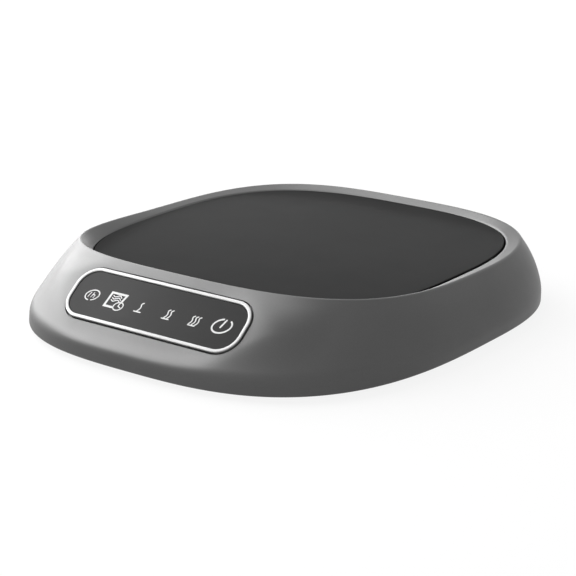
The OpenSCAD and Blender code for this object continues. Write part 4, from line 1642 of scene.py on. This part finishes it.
@dataclass
class HeatingPlate:
    """The black glass plate, with its springs and heater leads underneath."""

    outline: Outline = PLATE_OUTLINE
    segments: int = 480
    edge: float = 0.35
    under_edge: float = 0.3
    under_face: tuple[float, ...] = (2.0, 0.8)
    upper_face: tuple[float, ...] = (0.9, 1.6, 3.0)
    glass_sharp: float = 60

    spring_place: float = 38
    spring_radius: float = 4.3
    spring_wire: float = 0.35
    spring_turns: int = 4
    spring_low: float = 4.02
    spring_high: float = 10.78
    spring_sides: int = 10

    lead_place: float = -34
    lead_spacing: float = 1.9
    lead_tab: float = 6
    lead_radius: float = 0.7
    lead_sides: int = 16
    lead_steps: int = 32
    lead_low: float = 7.3
    lead_high: float = 13.11
    wire_sharp: float = 70

    def build_glass(self) -> bpy.types.Object:
        """The plate: loops of its outline, drawn in round the edges of both faces.

        Each loop is the outline's radius less an inset, at a height. Both edges are quarter
        circles, and the last loops on each face lie flat.

        Returns:
            The piece.
        """
        low = arc((self.under_edge, Z_GLASS_UNDER + self.under_edge), self.under_edge, 270, 180, 4)
        high = arc((self.edge, Z_GLASS - self.edge), self.edge, 180, 90, 8)
        rows = np.array([*((inset, Z_GLASS_UNDER) for inset in self.under_face), *low, *high,
                         *((inset, Z_GLASS) for inset in self.upper_face)])
        angle = np.linspace(0, 2 * math.pi, self.segments, endpoint=False)
        reach = self.outline.radius(angle) - rows[:, :1]
        height = np.broadcast_to(rows[:, 1:], reach.shape)
        grid = np.stack([reach * np.cos(angle), reach * np.sin(angle) + PLATE_Y, height], -1)
        return piece("plate_glass_rounded", [capped(grid)], self.glass_sharp)

    def build_springs(self) -> bpy.types.Object:
        """Four compression springs, their end turns closed on the floor and under the tray.

        Returns:
            The piece.
        """
        path = coil(self.spring_radius, self.spring_wire, self.spring_low, self.spring_high,
                    self.spring_turns)
        wire = tube(path, self.spring_wire, (0, 0, 1), self.spring_sides)
        reach = self.spring_place
        places = [(x * reach, y * reach + PLATE_Y, 0) for x in SIDES for y in SIDES]
        return piece("springs_coiled", [wire.moved(place) for place in places], self.wire_sharp)

    def build_leads(self) -> bpy.types.Object:
        """The two heater leads: quadratic curves, level out of the connector and up to the tabs.

        Returns:
            The piece.
        """
        low, high = box_mm("heater_leads")
        start = np.array([[low[1], low[2] + self.lead_radius]])
        tab = np.array([[self.lead_tab + PLATE_Y, high[2]]])
        corner = np.array([[tab[0, 0], start[0, 1]]])
        curve = quadratic(start, corner, tab, self.lead_steps)[0]
        path = np.column_stack([np.full(len(curve), self.lead_place), curve])
        lead = tube(path, self.lead_radius, (1, 0, 0), self.lead_sides)
        leads = [lead.moved((side * self.lead_spacing, 0, 0)) for side in SIDES]
        return piece("leads_flexible", leads, self.wire_sharp)

    def dress(self, library: Library) -> None:
        """Makes the glass, the springs and the leads and settles them. The last two get meshes of their
        own.

        Args:
            library: The materials.
        """
        springs, leads = self.build_springs(), self.build_leads()
        settle(library, self.build_glass(), Place(Body.PLATE, Slot.BLACK_GLASS, "plate_glass"))
        settle(library, springs, Place(Body.PLATE, Slot.SPRING_STEEL, "plate_springs"))
        settle(library, leads, Place(Body.PLATE, Slot.LEAD_INSULATION, "heater_leads"))
        give_way(springs)
        give_way(leads)


@dataclass
class Underside:
    """The rubber feet and the grommet that a cord leaves through."""

    foot_radius: float = 5.9
    foot_height: float = 2.65
    foot_rim: float = 0.55
    foot_chamfer: float = 0.1
    foot_hollow: tuple[tuple[float, float], ...] = ((0, 0.22), (2.6, 0.22), (3.3, 0.12), (3.8, 0.0))
    foot_places: tuple[tuple[float, float], ...] = ((43, -46), (38, 46))

    bore: float = 2.6
    bore_mouth: float = 0.5
    neck_radius: float = 3.5
    collar_radius: float = 4.6
    collar_depth: float = 1.6
    collar_edge: float = 0.6
    flange_radius: float = 3.8
    flange_depth: float = 1.38
    flange_chamfer: float = 0.2
    sharp: float = 50

    def build_feet(self) -> bpy.types.Object:
        """Four turned feet, slightly hollow below with a rounded wearing ring.

        Returns:
            The piece.
        """
        radius, top, chamfer = self.foot_radius, self.foot_height, self.foot_chamfer
        rim = arc((radius - self.foot_rim, self.foot_rim), self.foot_rim, 270, 360, 6)
        head = [(radius, top - chamfer), (radius - chamfer, top), (0, top)]
        foot = lathe([*self.foot_hollow, *rim, *head])
        places = [(side * x, y + PLATE_Y, 0) for x, y in self.foot_places for side in SIDES]
        return piece("feet_moulded", [foot.moved(place) for place in places], self.sharp)

    def build_grommet(self) -> bpy.types.Object:
        """The turned grommet: a rounded collar outside the wall, a neck through it and a flange behind.

        Returns:
            The piece.
        """
        low, high = box_mm("cord_gland")
        end, face = high[1], high[1] - self.collar_depth
        start, flange = low[1], low[1] + self.flange_depth
        edge, bell = self.collar_edge, self.bore_mouth
        outer = arc((self.collar_radius - edge, end - edge), edge, 0, 90, 8)
        mouth = arc((self.bore + bell, end - bell), bell, 90, 180, 6)
        ring = lathe([
            (self.bore, start), (self.flange_radius - self.flange_chamfer, start),
            (self.flange_radius, start + self.flange_chamfer), (self.flange_radius, flange),
            (self.neck_radius, flange), (self.neck_radius, face), (self.collar_radius, face),
            *outer, *mouth])
        return piece("cord_grommet", [along_y(ring, (low[2] + high[2]) / 2)], self.sharp)

    def dress(self, library: Library) -> None:
        """Makes the feet and the grommet, and settles them."""
        settle(library, self.build_feet(), Place(Body.HOUSING, Slot.FOOT_RUBBER, "rubber_feet"))
        settle(library, self.build_grommet(), Place(Body.HOUSING, Slot.GLAND_RUBBER, "cord_gland"))


# ---------------------------------------------------------------- studio


@dataclass(frozen=True)
class Lamp:
    """A rectangular lamp that faces the object, by its angles in degrees, distance, size and radiance."""

    name: str
    azimuth: float
    elevation: float
    distance: float
    size: tuple[float, float]
    radiance: float


LAMPS = (
    Lamp("key_light", azimuth=-88, elevation=31, distance=1.6, size=(2.0, 1.15), radiance=6.6),
    Lamp("side_light", azimuth=-112, elevation=3, distance=1.7, size=(1.2, 0.4), radiance=4.2),
    Lamp("top_light", azimuth=-95, elevation=64, distance=1.7, size=(1.7, 0.9), radiance=2.9),
    Lamp("rim_light", azimuth=-142, elevation=1, distance=1.7, size=(1.2, 0.35), radiance=5.0),
    Lamp("front_light", azimuth=-28, elevation=50, distance=1.7, size=(1.2, 1.0), radiance=0.4),
    Lamp("fill_light", azimuth=165, elevation=40, distance=1.8, size=(1.4, 1.4), radiance=0.12),
)
WHITE_LIGHT = (1, 1, 1, 1)


@dataclass
class Studio:
    """A plain pale floor, soft light and the camera.

    The camera's angles are in degrees, its distance and lens in millimetres, and the floor in
    metres. Strengths of 1 are white.
    """

    azimuth: float = 36.4979
    elevation: float = 16.5189
    distance: float = 538.35
    lens: float = 111.82
    sensor: float = 36
    shift: tuple[float, float] = (-0.0225, -0.0786)
    clip: tuple[float, float] = (0.01, 100)
    floor_size: float = 6.0
    floor_gap: float = 0.00003
    floor_tone: float = 0.8
    floor_roughness: float = 0.9
    floor_glow: float = 0.88
    world_seen: float = 1.0
    world_light: float = 0.23

    def direction(self, azimuth: float, elevation: float) -> Vector:
        """The direction from the object towards a place in the room, by its angles in degrees."""
        turn, rise = math.radians(azimuth), math.radians(elevation)
        return Vector((math.sin(turn) * math.cos(rise), -math.cos(turn) * math.cos(rise), math.sin(rise)))

    def stand(self, made: bpy.types.Object, target: Vector, back: Vector, distance: float) -> None:
        """Stands a camera or lamp away from a point, looking back at it.

        Args:
            made: The camera or lamp.
            target: The point.
            back: The direction from the point to it.
            distance: How far away it stands, in metres.
        """
        made.location = target + back * distance
        made.rotation_mode = "QUATERNION"
        made.rotation_quaternion = (-back).to_track_quat("-Z", "Y")
        bpy.context.scene.collection.objects.link(made)

    def camera(self) -> None:
        """The camera, looking at the middle of the plate's top."""
        data = bpy.data.cameras.new("camera")
        data.lens = self.lens
        data.sensor_width = self.sensor
        data.shift_x, data.shift_y = self.shift
        data.clip_start, data.clip_end = self.clip
        made = bpy.data.objects.new("camera", data)
        target = Vector((0, PLATE_Y * MM, Z_GLASS * MM))
        self.stand(made, target, self.direction(self.azimuth, self.elevation), self.distance * MM)
        bpy.context.scene.camera = made

    def light(self, lamp: Lamp) -> None:
        """A lamp, whose power is radiance times pi times its area. The camera doesn't see it.

        Args:
            lamp: The lamp.
        """
        data = bpy.data.lights.new(lamp.name, "AREA")
        data.shape = "RECTANGLE"
        data.size, data.size_y = lamp.size
        data.energy = lamp.radiance * math.pi * lamp.size[0] * lamp.size[1]
        made = bpy.data.objects.new(lamp.name, data)
        made.visible_camera = False
        self.stand(made, Vector(), self.direction(lamp.azimuth, lamp.elevation), lamp.distance)

    def seen(self, tree: bpy.types.NodeTree) -> bpy.types.NodeSocket:
        """1 for what the camera, a reflection or a glass sees, and 0 for light that falls on things.

        Args:
            tree: The tree that it is used in.

        Returns:
            The share, the greatest of the three rays' flags.
        """
        path = add_node(tree, "ShaderNodeLightPath", {}).outputs
        glossy, through = path["Is Glossy Ray"], path["Is Transmission Ray"]
        either = add_node(tree, "ShaderNodeMath", {0: glossy, 1: through}, operation="MAXIMUM").outputs[0]
        return add_node(tree, "ShaderNodeMath", {0: path["Is Camera Ray"], 1: either},
                        operation="MAXIMUM").outputs[0]

    def floor_material(self) -> bpy.types.Material:
        """The floor's material: nearly white to the camera, darker to what it lights, clear from below.

        Returns:
            The material.
        """
        material = bpy.data.materials.new("studio_floor")
        material.use_nodes = True
        tree = material.node_tree
        shader = tree.nodes["Principled BSDF"]
        shader.inputs["Base Color"].default_value = (self.floor_tone, self.floor_tone, self.floor_tone, 1)
        shader.inputs["Roughness"].default_value = self.floor_roughness
        glow = add_node(tree, "ShaderNodeEmission", {"Color": WHITE_LIGHT, "Strength": 1.0}).outputs[0]
        share = add_node(tree, "ShaderNodeMath", {0: self.seen(tree), 1: self.floor_glow},
                         operation="MULTIPLY").outputs[0]
        above = add_node(tree, "ShaderNodeMixShader",
                         {0: share, 1: shader.outputs[0], 2: glow}).outputs[0]
        below = add_node(tree, "ShaderNodeNewGeometry", {}).outputs["Backfacing"]
        clear = add_node(tree, "ShaderNodeBsdfTransparent", {}).outputs[0]
        whole = add_node(tree, "ShaderNodeMixShader", {0: below, 1: above, 2: clear}).outputs[0]
        tree.links.new(whole, tree.nodes["Material Output"].inputs["Surface"])
        return material

    def floor(self) -> None:
        """The floor: one square, a hair under the feet."""
        half = self.floor_size / 2
        mesh = bpy.data.meshes.new("floor")
        mesh.from_pydata([(-half, -half, 0), (half, -half, 0), (half, half, 0), (-half, half, 0)], [],
                         [(0, 1, 2, 3)])
        mesh.materials.append(self.floor_material())
        made = bpy.data.objects.new("floor", mesh)
        made.location.z = -self.floor_gap
        bpy.context.scene.collection.objects.link(made)

    def world(self) -> None:
        """White behind the object for what is seen, and a low grey for the light that falls on it."""
        world = bpy.data.worlds.new("studio")
        bpy.context.scene.world = world
        world.use_nodes = True
        tree = world.node_tree
        dim = tree.nodes["Background"]
        dim.inputs["Color"].default_value = WHITE_LIGHT
        dim.inputs["Strength"].default_value = self.world_light
        bright = add_node(tree, "ShaderNodeBackground",
                          {"Color": WHITE_LIGHT, "Strength": self.world_seen}).outputs[0]
        mix = add_node(tree, "ShaderNodeMixShader", {0: self.seen(tree), 1: dim.outputs[0], 2: bright})
        tree.links.new(mix.outputs[0], tree.nodes["World Output"].inputs["Surface"])

    def build(self) -> None:
        """Sets the whole studio up, and reports it."""
        self.camera()
        self.floor()
        self.world()
        for lamp in LAMPS:
            self.light(lamp)
        bpy.context.scene.view_settings.view_transform = "Standard"
        log.info("set up the studio with %d lamps", len(LAMPS))


# ---------------------------------------------------------------- the whole object


def write_sizes() -> None:
    """Brings the view layer up to date."""
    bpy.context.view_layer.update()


def main() -> None:
    """Sets up the studio, dresses the construction model and makes the sub-assemblies in order."""
    logging.basicConfig(level=logging.INFO, format="%(message)s")
    Studio().build()
    library = Library()
    dress_nodes(library)
    housing = Housing()
    for assembly in (housing, ControlPanel(housing), HeatingPlate(), Underside()):
        assembly.dress(library)
    write_sizes()


if __name__ == "__main__":
    main()
